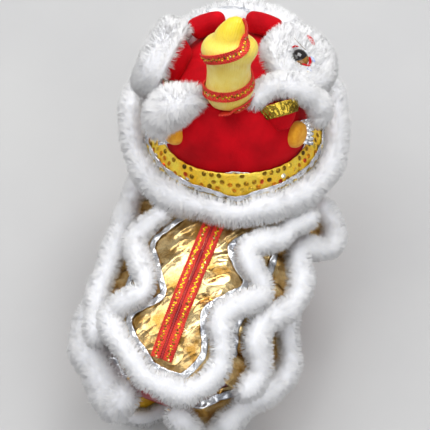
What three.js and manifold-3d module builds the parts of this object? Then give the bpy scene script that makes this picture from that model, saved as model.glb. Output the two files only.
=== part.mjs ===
// Lion dance costume for a small dog, as it stands when worn: a padded lion hood with a sequinned
// neck ruff, and a two-tier lamé coat with fur-edged scallops, a sequin braid down the spine and
// two hind leg sleeves. Units are millimetres, +Z is up and +Y is the way the wearer faces.
// The origin is the middle of the coat's neck opening.
import * as THREE from "three";
import { mergeVertices } from "three/addons/utils/BufferGeometryUtils.js";
import Module from "manifold-3d";

const wasm = await Module();
wasm.setup();

// Driving dimensions
const lameWall = 1.6;
const velourWall = 2.6;
const feltWall = 2.2;
const tapeWall = 0.9;
const clearance = 0.5;
const hoodCentre = new THREE.Vector3(-17, 74, 91);
const hoodTurn = THREE.MathUtils.degToRad(20); // the head looks a little to the left of the spine
const dome = { halfWidth: 74, front: 98, back: 80, height: 70 };
const trimFur = 10.5; // half the thickness of the fur edging on the coat
const ruffFur = 11;
const furFlat = 0.9; // a roll's height as a share of its width
const lockDepth = 0.1; // how far the fur's locks stand out, as a share of its radius
const furSides = 6;
const furStep = 12;

// Materials, one for each cloth
const cloth = (color, roughness, metalness = 0) =>
  new THREE.MeshStandardMaterial({ color, roughness, metalness });
const redVelour = cloth("#c4121c", 0.85);
const redSatin = cloth("#a80f16", 0.55);
const goldLame = cloth("#c9a45a", 0.32, 0.85);
const yellowLame = cloth("#f0c231", 0.35, 0.6);
const yellowPlush = cloth("#f2dc62", 0.8);
const goldSequin = cloth("#e0b32a", 0.3, 0.7);
const redBraid = cloth("#d6261d", 0.6);
const silverTape = cloth("#c9ccd2", 0.25, 0.9);
const goldTape = cloth("#b89a3c", 0.3, 0.9);
const whiteFur = cloth("#f4f4f2", 0.95);
const orangeFelt = cloth("#efb02c", 0.9);
const blackResin = cloth("#141414", 0.12);

// A table's column at a value between its rows, on a smooth curve through them. Rows run one way in key.
function along(rows, key, value, column) {
  const sign = Math.sign(rows[rows.length - 1][key] - rows[0][key]);
  const last = rows.length - 2;
  let i = 0;
  while (i < last && sign * (value - rows[i + 1][key]) > 0) i++;
  const slope = (n) => {
    const a = rows[Math.max(n - 1, 0)];
    const b = rows[Math.min(n + 1, rows.length - 1)];
    return (b[column] - a[column]) / (b[key] - a[key]);
  };
  const span = rows[i + 1][key] - rows[i][key];
  const t = THREE.MathUtils.clamp((value - rows[i][key]) / span, 0, 1);
  const [h0, h1] = [rows[i][column], rows[i + 1][column]];
  const [m0, m1] = [slope(i) * span, slope(i + 1) * span];
  return h0 + t * (m0 + t * (3 * (h1 - h0) - 2 * m0 - m1 + t * (2 * (h0 - h1) + m0 + m1)));
}

const sides = [["left", -1], ["right", 1]];
const mix = THREE.MathUtils.lerp;
const steps = (count) => Array.from({ length: count + 1 }, (_, i) => i / count);

// A closed geometry from points and triangles: doubles merged, flat triangles dropped, faces turned out.
function solidGeometry(points, triangles) {
  const raw = new THREE.BufferGeometry().setFromPoints(points);
  raw.setIndex(triangles.flat());
  const merged = mergeVertices(raw, 1e-3);
  const source = merged.index.array;
  const kept = [];
  for (let i = 0; i < source.length; i += 3) {
    const [a, b, c] = [source[i], source[i + 1], source[i + 2]];
    if (a !== b && b !== c && a !== c) kept.push(a, b, c);
  }
  const corner = (i) => new THREE.Vector3().fromBufferAttribute(merged.attributes.position, i);
  let volume = 0;
  for (let i = 0; i < kept.length; i += 3) {
    volume += corner(kept[i]).dot(corner(kept[i + 1]).cross(corner(kept[i + 2])));
  }
  if (volume < 0) {
    for (let i = 0; i < kept.length; i += 3) [kept[i + 1], kept[i + 2]] = [kept[i + 2], kept[i + 1]];
  }
  merged.setIndex(kept);
  return merged;
}

// Rings of equal count, joined one to the next, with a fan over each end.
function ringGeometry(rings) {
  const count = rings[0].length;
  const points = rings.flat();
  const triangles = [];
  for (let i = 0; i + 1 < rings.length; i++) {
    for (let j = 0; j < count; j++) {
      const [a, b] = [i * count + j, i * count + ((j + 1) % count)];
      triangles.push([a, b, b + count], [a, b + count, a + count]);
    }
  }
  const cap = (ring, first, turn) => {
    const middle = points.length;
    points.push(ring.reduce((sum, p) => sum.add(p), new THREE.Vector3()).divideScalar(count));
    for (let j = 0; j < count; j++) {
      const [a, b] = [first + j, first + ((j + 1) % count)];
      triangles.push(turn ? [middle, b, a] : [middle, a, b]);
    }
  };
  cap(rings[0], 0, true);
  cap(rings[rings.length - 1], (rings.length - 1) * count, false);
  return solidGeometry(points, triangles);
}

// The outward normal of a surface given as a function of u and v.
function normalAt(surface, u, v) {
  const small = 1e-3;
  const inside = (t) => Math.min(t, 1 - small);
  const p = surface(inside(u), inside(v));
  const du = surface(inside(u) + small, inside(v)).sub(p);
  const dv = surface(inside(u), inside(v) + small).sub(p);
  return du.cross(dv).normalize();
}

// A wall of even thickness below a surface. wrapped joins u = 1 back to u = 0, and v = 0 may be a pole.
function wallGeometry(surface, uCount, vCount, thickness, wrapped = false) {
  const points = [];
  const pole = wrapped && surface(0, 0).distanceTo(surface(0.5, 0)) < 1e-6;
  const crown = new THREE.Vector3();
  for (let i = 0; i < uCount; i++) crown.add(normalAt(surface, i / uCount, 1e-3));
  crown.normalize();
  for (const side of [0, 1]) {
    for (const share of steps(uCount)) {
      const u = wrapped ? share % 1 : share;
      for (const v of steps(vCount)) {
        const p = surface(u, v);
        if (side) p.addScaledVector(pole && v === 0 ? crown : normalAt(surface, u, v), -thickness);
        points.push(p);
      }
    }
  }
  const row = vCount + 1;
  const inner = row * (uCount + 1);
  const triangles = [];
  const quad = (a, b, c, d) => triangles.push([a, b, c], [a, c, d]);
  for (let i = 0; i < uCount; i++) {
    for (let j = 0; j < vCount; j++) {
      const a = i * row + j;
      quad(a, a + row, a + row + 1, a + 1);
      quad(inner + a, inner + a + 1, inner + a + row + 1, inner + a + row);
    }
    for (const j of [0, vCount]) {
      const a = i * row + j;
      if (j) quad(a, a + row, inner + a + row, inner + a);
      else quad(a, inner + a, inner + a + row, a + row);
    }
  }
  if (!wrapped) {
    for (const i of [0, uCount]) {
      for (let j = 0; j < vCount; j++) {
        const a = i * row + j;
        if (i) quad(a, inner + a, inner + a + 1, a + 1);
        else quad(a, a + 1, inner + a + 1, inner + a);
      }
    }
  }
  return solidGeometry(points, triangles);
}

// A path's stations at an even spacing, each with its tangent and the direction that stands off the cloth.
function stations(points, ups, spacing) {
  const line = new THREE.CatmullRomCurve3(points, false, "centripetal");
  const lift = new THREE.CatmullRomCurve3(ups, false, "centripetal");
  const count = Math.max(4, Math.round(line.getLength() / spacing));
  return steps(count).map((t) => {
    const share = line.getUtoTmapping(t);
    const tangent = line.getTangent(share);
    const up = lift.getPoint(share);
    up.addScaledVector(tangent, -up.dot(tangent)).normalize();
    return { t, point: line.getPoint(share), tangent, up, side: tangent.clone().cross(up) };
  });
}

// A fur roll: a tube whose rings stand out in staggered locks, with round ends.
// thickness(t) is its radius along the path, and flatness squeezes it towards the cloth.
function furRoll(points, ups, thickness, { flatness = furFlat, spacing = furStep, sides = furSides } = {}) {
  const path = stations(points, ups, spacing);
  const rings = path.map(({ t, point, up, side }, i) => {
    const end = Math.min(1, Math.sqrt(Math.min(t, 1 - t) * path.length * 0.55) + 0.35);
    return Array.from({ length: sides }, (_, k) => {
      const angle = (2 * Math.PI * (k + (i % 2) / 2)) / sides;
      const lock = 1 + ((i + k) % 2 ? lockDepth : -lockDepth);
      const r = thickness(t) * end * lock;
      return point.clone()
        .addScaledVector(side, r * Math.cos(angle))
        .addScaledVector(up, flatness * r * Math.sin(angle));
    });
  });
  return ringGeometry(rings);
}

// A flat tape laid along a path, standing on the cloth below it.
function tape(points, ups, width, thickness, spacing) {
  const corners = [[-0.5, 0], [0.5, 0], [0.5, 1], [-0.5, 1]];
  const rings = stations(points, ups, spacing).map(({ point, up, side }) =>
    corners.map(([a, b]) => point.clone()
      .addScaledVector(side, a * width)
      .addScaledVector(up, b * thickness)));
  return ringGeometry(rings);
}

// A stuffed roll with a smooth skin and round ends.
function padRoll(points, ups, radius) {
  const rings = stations(points, ups, 6).map(({ t, point, up, side }) => {
    const r = radius * Math.min(1, Math.sqrt(Math.min(t, 1 - t) * 5) + 0.3);
    return Array.from({ length: 12 }, (_, k) => {
      const angle = (2 * Math.PI * k) / 12;
      return point.clone()
        .addScaledVector(side, r * Math.cos(angle))
        .addScaledVector(up, r * Math.sin(angle));
    });
  });
  return ringGeometry(rings);
}

// A cushion on an oval: each layer is [height above the oval, share of its size].
function cushion(centre, normal, long, halfLong, halfWide, layers, sides, lock = 0) {
  const a = long.clone().addScaledVector(normal, -long.dot(normal)).normalize();
  const b = normal.clone().cross(a);
  const rings = layers.map(([height, share], i) => Array.from({ length: sides }, (_, k) => {
    const angle = (2 * Math.PI * k) / sides;
    const s = share * (1 + ((i + k) % 2 ? lock : -lock));
    return centre.clone().addScaledVector(normal, height)
      .addScaledVector(a, halfLong * s * Math.cos(angle))
      .addScaledVector(b, halfWide * s * Math.sin(angle));
  }));
  return ringGeometry(rings);
}

// The points and standing directions of a line across a surface, between two values of u at one v.
function lineOn(surface, from, to, count, v, lift) {
  const spots = steps(count).map((t) => mix(from, to, t));
  const ups = spots.map((u) => normalAt(surface, u, v));
  return [spots.map((u, i) => surface(u, v).addScaledVector(ups[i], lift)), ups];
}

const toManifold = (geometry) => new wasm.Manifold(new wasm.Mesh({
  numProp: 3,
  vertProperties: new Float32Array(geometry.attributes.position.array),
  triVerts: new Uint32Array(geometry.index.array),
}));

function fromManifold(solid) {
  const { vertProperties, triVerts } = solid.getMesh();
  const geometry = new THREE.BufferGeometry();
  geometry.setAttribute("position", new THREE.BufferAttribute(vertProperties, 3));
  return geometry.setIndex(new THREE.BufferAttribute(triVerts, 1));
}

const costume = new THREE.Group();
const hood = new THREE.Group();
hood.position.copy(hoodCentre);
hood.rotation.z = hoodTurn;
costume.add(hood);

function add(parent, name, geometry, material) {
  const mesh = new THREE.Mesh(geometry, material);
  mesh.name = name;
  parent.add(mesh);
  return mesh;
}

// HOOD, in its own frame: the middle of the dome is the origin and +Y is the way the lion looks.
// bearing is measured at the crown from straight ahead, clockwise from above, and fall from the crown down.

function domePoint(bearing, fall, lift = 0) {
  const [b, f] = [THREE.MathUtils.degToRad(bearing), THREE.MathUtils.degToRad(fall)];
  const length = Math.cos(b) > 0 ? dome.front : dome.back;
  const p = new THREE.Vector3(
    dome.halfWidth * Math.sin(f) * Math.sin(b),
    length * Math.sin(f) * Math.cos(b),
    dome.height * Math.cos(f),
  );
  return p.addScaledVector(domeNormal(p), lift);
}

function domeNormal(p) {
  const length = p.y > 0 ? dome.front : dome.back;
  const steepness = new THREE.Vector3(p.x / dome.halfWidth ** 2, p.y / length ** 2, p.z / dome.height ** 2);
  return steepness.normalize();
}

// A line round the dome between two bearings, lifted off it, with the directions that stand off the cloth.
function domeLine(from, to, count, fallAt, lift) {
  const feet = steps(count).map((t) => domePoint(mix(from, to, t), fallAt(mix(from, to, t))));
  return [feet.map((p) => p.clone().addScaledVector(domeNormal(p), lift)), feet.map(domeNormal)];
}

// The dome as a full solid, a little larger, which cuts a fitted foot on what is sewn to it.
const domeSolid = toManifold(ringGeometry(steps(20).map((t) =>
  Array.from({ length: 32 }, (_, k) => domePoint((360 * k) / 32, mix(1, 179, t), clearance + 0.4)))));
const trimmed = (geometry) => fromManifold(toManifold(geometry).subtract(domeSolid));
// A piece cut back clear of its neighbours, kept as its largest body.
function cleared(geometry, neighbours) {
  const cut = neighbours.reduce((solid, other) => solid.subtract(other), toManifold(geometry));
  const bodies = cut.decompose().sort((a, b) => b.volume() - a.volume());
  return fromManifold(bodies[0]);
}

// How far the dome comes down: short over the face, low at the cheeks, up to the ruff at the nape.
const domeRim = [
  { bearing: 0, fall: 86 },
  { bearing: 50, fall: 88 },
  { bearing: 85, fall: 106 },
  { bearing: 130, fall: 104 },
  { bearing: 180, fall: 92 },
];
const rimFall = (bearing) => along(domeRim, "bearing", Math.abs(((bearing + 540) % 360) - 180), "fall");

add(hood, "hood_shell", wallGeometry(
  (u, v) => domePoint(360 * u, rimFall(360 * u) * v), 24, 8, velourWall, true), redVelour);

// Neck ruff: a sequinned flounce round the back and cheeks, open at the face, with a point at the nape.
const ruff = [
  { bearing: -128, top: 76.5, topZ: -4, low: 93, lowZ: -34 },
  { bearing: -95, top: 76.5, topZ: -4, low: 91, lowZ: -30 },
  { bearing: -50, top: 79.4, topZ: 5, low: 91, lowZ: -24 },
  { bearing: -14, top: 81.4, topZ: 17, low: 91, lowZ: -13 },
  { bearing: 0, top: 81.6, topZ: 18, low: 95, lowZ: -14 },
  { bearing: 14, top: 81.4, topZ: 17, low: 91, lowZ: -13 },
  { bearing: 50, top: 79.4, topZ: 5, low: 91, lowZ: -24 },
  { bearing: 95, top: 76.5, topZ: -4, low: 91, lowZ: -30 },
  { bearing: 128, top: 76.5, topZ: -4, low: 93, lowZ: -34 },
];
const ruffEnd = ruff[ruff.length - 1].bearing;
const ruffBulge = 4;

function ruffPoint(bearing, v) {
  const b = THREE.MathUtils.degToRad(bearing);
  const reach = mix(along(ruff, "bearing", bearing, "top"), along(ruff, "bearing", bearing, "low"), v);
  const front = Math.max(0, -Math.cos(b)) * (dome.front - dome.halfWidth);
  const r = reach + front + ruffBulge * Math.sin(Math.PI * v);
  const z = mix(along(ruff, "bearing", bearing, "topZ"), along(ruff, "bearing", bearing, "lowZ"), v);
  return new THREE.Vector3(r * Math.sin(b), -r * Math.cos(b), z);
}
const ruffSurface = (u, v) => ruffPoint(mix(ruffEnd, -ruffEnd, u), v);
add(hood, "neck_ruff", wallGeometry(ruffSurface, 32, 2, lameWall), goldSequin);
const ruffRibbon = lineOn(ruffSurface, 0.01, 0.99, 40, 0.7, clearance);
add(hood, "ruff_ribbon", tape(...ruffRibbon, 4.5, tapeWall, 12), silverTape);
const ruffHem = lineOn(ruffSurface, 0, 1, 40, 0.995, ruffFur * furFlat + 1.8);
add(hood, "ruff_fur", furRoll(...ruffHem, () => ruffFur), whiteFur);

// Brim fur over the face opening
const brim = [
  { bearing: -82, fall: 86 },
  { bearing: -45, fall: 84 },
  { bearing: 0, fall: 77 },
  { bearing: 45, fall: 77 },
  { bearing: 82, fall: 82 },
];
const brimRoll = (grow) => furRoll(...domeLine(brim[0].bearing, brim[4].bearing, 24,
  (bearing) => along(brim, "bearing", bearing, "fall"), ruffFur * furFlat + 1), () => ruffFur + grow);
const brimSolid = toManifold(brimRoll(clearance));
add(hood, "brim_fur", brimRoll(0), whiteFur);

// Padded brow rolls either side of the forehead pad
const brow = { radius: 11, from: 15, to: 41, fall: 39, slope: 0.42 };
const browRoll = (sign, grow) => {
  const fallAt = (bearing) => brow.fall + brow.slope * (Math.abs(bearing) - brow.from);
  const line = domeLine(sign * brow.from, sign * brow.to, 8, fallAt, brow.radius + clearance);
  return padRoll(...line, brow.radius + grow);
};
const browSolids = [-1, 1].map((sign) => toManifold(browRoll(sign, clearance)));
for (const [side, sign] of sides) add(hood, `brow_roll_${side}`, browRoll(sign, 0), redVelour);

// Forehead pad, a silver cushion in front of the horn
const forehead = { bearing: -5, fall: 60, halfWidth: 23, halfLength: 15, height: 18 };
const padFoot = domePoint(forehead.bearing, forehead.fall);
add(hood, "forehead_pad", trimmed(cushion(
  padFoot, domeNormal(padFoot), new THREE.Vector3(1, 0, 0), forehead.halfWidth, forehead.halfLength,
  [[-6, 0.9], [0, 1], [9, 0.94], [15, 0.72], [forehead.height, 0.35]], 16)), silverTape);

// Horn: stuffed tiers that lean forward, with the tip drawn to the right
const horn = { root: new THREE.Vector3(-7, -29, 60), lean: 25, sides: 12 };
const hornLean = THREE.MathUtils.degToRad(horn.lean);
const hornAxis = new THREE.Vector3(0, Math.sin(hornLean), Math.cos(hornLean));
const hornAcross = new THREE.Vector3(1, 0, 0);
const hornAhead = hornAxis.clone().cross(hornAcross).negate();
const hornTiers = [
  { height: 0, radius: 17, shift: 0 },
  { height: 6, radius: 20.5, shift: 0 },
  { height: 14, radius: 22.5, shift: 0 },
  { height: 24, radius: 21, shift: 0 },
  { height: 34, radius: 20, shift: 0 },
  { height: 44, radius: 21, shift: 0 },
  { height: 51, radius: 24.5, shift: 0 },
  { height: 57, radius: 25.5, shift: 0 },
  { height: 62.5, radius: 22.5, shift: 1 },
  { height: 66, radius: 15.5, shift: 2.5 },
  { height: 72, radius: 12.5, shift: 4 },
  { height: 79, radius: 10, shift: 7 },
  { height: 86, radius: 5, shift: 10 },
];
const hornTop = hornTiers[hornTiers.length - 1].height;

function hornPoint(height, angle, lift = 0) {
  const r = along(hornTiers, "height", height, "radius") + lift;
  return horn.root.clone().addScaledVector(hornAxis, height)
    .addScaledVector(hornAcross, along(hornTiers, "height", height, "shift") + r * Math.cos(angle))
    .addScaledVector(hornAhead, r * Math.sin(angle));
}
const hornRing = (t, lift) => Array.from({ length: horn.sides }, (_, k) =>
  hornPoint(hornTop * t, (2 * Math.PI * k) / horn.sides, lift));
const hornGeometry = (lift) => ringGeometry(steps(14).map((t) => hornRing(t, lift)));
const hornSolid = toManifold(hornGeometry(clearance));
add(hood, "horn", trimmed(hornGeometry(0)), yellowPlush);

// Sequin braid wound up the horn: its height at each share of a turn, counted back from the right side
const hornWind = [
  { turn: 0.33, height: -2 },
  { turn: 0.25, height: 0 },
  { turn: 0, height: 9 },
  { turn: -0.5, height: 15 },
  { turn: -0.75, height: 18 },
  { turn: -1, height: 25 },
  { turn: -1.25, height: 34 },
  { turn: -1.5, height: 46 },
  { turn: -1.75, height: 57 },
  { turn: -1.9, height: 60 },
];
const hornBraid = { width: 7.5, thickness: 1.4, lift: 2.5 };
const windPoints = [];
const windUps = [];
for (const t of steps(40)) {
  const turn = mix(hornWind[0].turn, hornWind[hornWind.length - 1].turn, t);
  const height = along(hornWind, "turn", turn, "height");
  const angle = 2 * Math.PI * turn;
  windPoints.push(hornPoint(height, angle, hornBraid.lift));
  windUps.push(hornPoint(height, angle, 1).sub(hornPoint(height, angle, 0)));
}
const hornStrip = tape(windPoints, windUps, hornBraid.width, hornBraid.thickness, 7);
add(hood, "horn_braid", cleared(hornStrip, [domeSolid, hornSolid]), redBraid);

// Eye pads: a felt backing with deep fur over it and a resin eye in the middle
const eyePads = [
  {
    side: "right",
    centre: new THREE.Vector3(59, 23, 52),
    inward: 1,
    facing: new THREE.Vector3(0.36, 0.05, 0.93),
    long: new THREE.Vector3(0.1, 1, 0),
  },
  {
    side: "left",
    centre: new THREE.Vector3(-70, 32, 48),
    inward: -1,
    facing: new THREE.Vector3(-0.9, 0.36, 0.24),
    long: new THREE.Vector3(0.43, 0.88, 0.1),
  },
];
const eyePad = { halfLong: 34, halfWide: 31, felt: 6, feltShare: 0.92, eyeBack: 8, eyeIn: 4.5 };
const eyeFur = [[0.5, 0.96], [5, 1.14], [10, 1.16], [14.5, 0.95], [17, 0.5]];
const eyeBall = [[0.5, 1], [2.2, 0.92], [3.8, 0.62], [4.6, 0.25]];
const beforeEyes = [domeSolid, brimSolid, hornSolid, ...browSolids];
const eyeSolids = [];
for (const { side, centre, inward, facing, long } of eyePads) {
  const n = facing.clone().normalize();
  const a = long.clone().addScaledVector(n, -long.dot(n)).normalize();
  const seat = centre.clone().addScaledVector(n, eyeFur[4][0])
    .addScaledVector(a, -eyePad.eyeBack)
    .addScaledVector(n.clone().cross(a), inward * eyePad.eyeIn);
  const pad = (layers, sides, lock, grow = 0) =>
    cushion(centre, n, long, eyePad.halfLong + grow, eyePad.halfWide + grow, layers, sides, lock);
  const felt = pad([[-eyePad.felt, eyePad.feltShare], [0, eyePad.feltShare]], 18, 0);
  add(hood, `eye_backing_${side}`, cleared(felt, beforeEyes), redVelour);
  add(hood, `eye_fur_${side}`, cleared(pad(eyeFur, 18, lockDepth * 0.6), beforeEyes), whiteFur);
  add(hood, `eye_${side}`, cushion(seat, n, long, 9, 8, eyeBall, 14), blackResin);
  const grown = eyeFur.map(([height, share]) => [height + 0.8, share + 0.08]);
  eyeSolids.push(toManifold(pad([[-eyePad.felt - 1, 0.96], ...grown], 18, 0, 2)));
}

// Ears: felt cups with a foil tape round the lip, a fur lining and a felt lobe below
const earCup = [
  { v: 0, across: 6, deep: 6 },
  { v: 0.35, across: 13, deep: 10 },
  { v: 0.7, across: 18, deep: 12 },
  { v: 1, across: 21, deep: 13 },
];
const ears = [
  {
    side: "right",
    root: new THREE.Vector3(45, -47, 42.5),
    lip: new THREE.Vector3(38, -27, 58),
    across: new THREE.Vector3(0.93, 0.2, 0.3),
    fur: [
      { x: 12, y: -35, z: 64, radius: 5.5 },
      { x: 22, y: -25, z: 68, radius: 8.5 },
      { x: 36, y: -17, z: 70, radius: 10 },
      { x: 53, y: -18, z: 69, radius: 11 },
      { x: 69, y: -20, z: 58, radius: 11 },
      { x: 80, y: -22, z: 42, radius: 11 },
      { x: 78, y: -32, z: 30, radius: 6 },
    ],
  },
  {
    side: "left",
    root: new THREE.Vector3(-52, -4, 40),
    lip: new THREE.Vector3(-72, -6, 44),
    across: new THREE.Vector3(0.5, -0.4, 0.7),
    fur: [
      { x: -34, y: -24, z: 64, radius: 6 },
      { x: -46, y: -29, z: 64, radius: 13 },
      { x: -61, y: -32, z: 57, radius: 17 },
      { x: -73, y: -36, z: 44, radius: 15 },
      { x: -75, y: -43, z: 31, radius: 8 },
    ],
  },
];
const lobes = [
  { side: "right", bearing: 123, fall: 69, halfWidth: 14, halfLength: 12 },
  { side: "left", bearing: -120, fall: 69, halfWidth: 14, halfLength: 12 },
];

const lobeLayers = [[-4, 0.9], [0, 1], [5, 0.9], [7.5, 0.5]];

function earRing({ root, lip, across }, v, grow) {
  const axis = lip.clone().sub(root).normalize();
  const a = across.clone().addScaledVector(axis, -across.dot(axis)).normalize();
  const b = axis.clone().cross(a);
  const middle = root.clone().lerp(lip, v);
  return Array.from({ length: 10 }, (_, k) => {
    const angle = (2 * Math.PI * k) / 10;
    return middle.clone()
      .addScaledVector(a, (along(earCup, "v", Math.min(v, 1), "across") + grow) * Math.cos(angle))
      .addScaledVector(b, (along(earCup, "v", Math.min(v, 1), "deep") + grow) * Math.sin(angle));
  });
}
const earSolid = (ear, from, to, grow) =>
  toManifold(ringGeometry([0, 0.4, 0.75, 1].map((t) => earRing(ear, mix(from, to, t), grow))));

for (const ear of ears) {
  const shell = fromManifold(earSolid(ear, 0, 1, 0).subtract(earSolid(ear, 0.12, 1.1, -feltWall)));
  add(hood, `ear_${ear.side}`, cleared(shell, [domeSolid, ...eyeSolids]), redVelour);
  const outer = earSolid(ear, 0.66, 0.98, clearance + tapeWall);
  const band = fromManifold(outer.subtract(earSolid(ear, 0.5, 1.2, clearance)));
  add(hood, `ear_tape_${ear.side}`, cleared(band, [domeSolid, ...eyeSolids]), goldTape);
}
for (const ear of ears) {
  const line = ear.fur.map(({ x, y, z }) => new THREE.Vector3(x, y, z));
  const rows = ear.fur.map(({ radius }, i) => ({ i, radius }));
  const thickness = (t) => along(rows, "i", t * (rows.length - 1), "radius");
  const cup = earSolid(ear, 0, 1.06, clearance + tapeWall + 0.4);
  add(hood, `ear_fur_${ear.side}`, cleared(furRoll(line, line.map(domeNormal), thickness),
    [domeSolid, hornSolid, cup, ...eyeSolids]), whiteFur);
}
for (const { side, bearing, fall, halfWidth, halfLength } of lobes) {
  const foot = domePoint(bearing, fall);
  const upward = new THREE.Vector3(0, 0, 1);
  const lobe = cushion(foot, domeNormal(foot), upward, halfLength, halfWidth, lobeLayers, 12);
  const cup = earSolid(ears.find((ear) => ear.side === side), 0, 1, clearance + tapeWall + 0.4);
  add(hood, `ear_lobe_${side}`, cleared(lobe, [domeSolid, cup]), orangeFelt);
}

// COAT, in the body's frame. Its back lies on a saddle: halfWidth and top at each station along the spine.
const saddle = [
  { y: 62, halfWidth: 130, trunk: 42, top: 34 },
  { y: 20, halfWidth: 128, trunk: 49, top: 50 },
  { y: -10, halfWidth: 106, trunk: 56, top: 57 },
  { y: -40, halfWidth: 84, trunk: 61, top: 60 },
  { y: -70, halfWidth: 79, trunk: 64, top: 60 },
  { y: -120, halfWidth: 78, trunk: 65, top: 57 },
  { y: -165, halfWidth: 70, trunk: 58, top: 47 },
  { y: -205, halfWidth: 54, trunk: 44, top: 28 },
];
const saddleFall = 62;
const saddleTop = (y) => along(saddle, "y", y, "top");
const saddleWidth = (y) => along(saddle, "y", y, "halfWidth");
const backZ = (x, y) => {
  const round = Math.sqrt(Math.max(0, 1 - (x / saddleWidth(y)) ** 2));
  return saddleTop(y) - saddleFall * (1 - round);
};

// Base coat: a closed barrel round the trunk, slanting open at the neck and open at the tail.
const trunk = { below: 3.6, halfHeight: 63, neckTop: 0, neckLow: 56, tailTop: -184, tailLow: -176 };
const trunkGrid = { around: 20, along: 7 };
const legHoles = [
  { name: "front_left", x: -33, y: 14, radius: 23 },
  { name: "front_right", x: 33, y: 14, radius: 23 },
];
const sleeves = [
  { side: "left", x: -37, y: -160, radius: 22 },
  { side: "right", x: 40, y: -152, radius: 22 },
];
const sleeveTop = -42;
const sleeveEnd = -112;
const cuffFur = 8.5;

function trunkPoint(turn, v, grow = 0) {
  const angle = -2 * Math.PI * turn;
  const low = (1 - Math.cos(angle)) / 2;
  const y = mix(mix(trunk.neckTop, trunk.neckLow, low), mix(trunk.tailTop, trunk.tailLow, low), v);
  const middle = saddleTop(y) - trunk.below - trunk.halfHeight;
  return new THREE.Vector3(
    (along(saddle, "y", y, "trunk") + grow) * Math.sin(angle),
    y,
    middle + (trunk.halfHeight + grow) * Math.cos(angle),
  );
}
const trunkSurface = (u, v) => trunkPoint(u, v);
const trunkBarrel = wallGeometry(trunkSurface, trunkGrid.around, trunkGrid.along, lameWall, true);
const upright = (x, y, radius, low, high) => {
  const post = new THREE.CylinderGeometry(radius, radius, high - low, 16);
  post.rotateX(Math.PI / 2);
  post.translate(x, y, (low + high) / 2);
  return toManifold(mergeVertices(post.deleteAttribute("normal").deleteAttribute("uv")));
};
let trunkSolid = toManifold(trunkBarrel);
for (const { x, y, radius } of legHoles) trunkSolid = trunkSolid.subtract(upright(x, y, radius, -130, -30));
for (const { x, y, radius } of sleeves) {
  trunkSolid = trunkSolid.subtract(upright(x, y, radius - lameWall - 1, -130, -30));
}
add(costume, "coat_body", fromManifold(trunkSolid), redSatin);

// Back panel: the top tier, cut in waves down both sides to a narrow hem at the tail.
const backEdge = [
  { y: -4, left: -30, right: 66 },
  { y: -20, left: -34, right: 62 },
  { y: -36, left: -44, right: 46 },
  { y: -52, left: -56, right: 36 },
  { y: -66, left: -63, right: 46 },
  { y: -78, left: -59, right: 61 },
  { y: -100, left: -44, right: 50 },
  { y: -122, left: -33, right: 36 },
  { y: -145, left: -56, right: 44 },
  { y: -160, left: -48, right: 47 },
  { y: -178, left: -26, right: 40 },
  { y: -194, left: -6, right: 26 },
];
const backFront = backEdge[0].y;
const backHem = backEdge[backEdge.length - 1].y;
const onBack = (x, y) => new THREE.Vector3(x, y, backZ(x, y));
const backSurface = (u, v) => {
  const y = mix(backFront, backHem, u);
  return onBack(mix(along(backEdge, "y", y, "left"), along(backEdge, "y", y, "right"), v), y);
};
add(costume, "back_panel", wallGeometry(backSurface, 22, 4, lameWall), goldLame);

// The normal of the saddle, for what lies on the back.
function backNormal(x, y) {
  const small = 0.05;
  return new THREE.Vector3(
    (backZ(x - small, y) - backZ(x + small, y)) / (2 * small),
    (backZ(x, y - small) - backZ(x, y + small)) / (2 * small),
    1,
  ).normalize();
}
const lay = (outline, lift) => [
  outline.map(([x, y]) => onBack(x, y).addScaledVector(backNormal(x, y), lift)),
  outline.map(([x, y]) => backNormal(x, y)),
];
// The panel's outline from its left shoulder round the hem to its right, drawn in from the edge.
function backOutline(leftFrom, rightTo, inset, beyond = []) {
  const hem = backHem + inset * 0.8;
  const edge = (y, side, by) => [along(backEdge, "y", y, side) + by, y];
  const left = steps(22).map((t) => edge(mix(leftFrom, hem, t), "left", inset));
  const right = steps(22).map((t) => edge(mix(hem, rightTo, t), "right", -inset));
  const middle = [[(left[22][0] + right[0][0]) / 2, hem - 1]];
  return [...left, ...middle, ...right, ...beyond];
}
const shoulderEnd = [[76, 4], [82, 18]]; // the fur's right end, up beside the ruff
const backFurLine = lay(backOutline(-36, -8, 0, shoulderEnd), trimFur * furFlat + 1.2);
add(costume, "back_fur", furRoll(...backFurLine, () => trimFur), whiteFur);
const backRibbonLine = lay(backOutline(-38, -24, 13.5), clearance);
add(costume, "back_ribbon", tape(...backRibbonLine, 4, tapeWall, 12), silverTape);

// Spine braid: two sequinned strips with the zip's line between them
const braid = { from: -24, to: -176, width: 8.5, gap: 3.2, thickness: 1.5 };
const spineLine = (x) => steps(18).map((t) => [x, mix(braid.from, braid.to, t)]);
for (const [side, sign] of sides) {
  const x = sign * (braid.width + braid.gap) / 2;
  const line = lay(spineLine(x), clearance);
  add(costume, `spine_braid_${side}`, tape(...line, braid.width, braid.thickness, 14), redBraid);
}
add(costume, "spine_zip", tape(...lay(spineLine(0), clearance), braid.gap - 2 * 0.4, 1, 14), redSatin);

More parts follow.
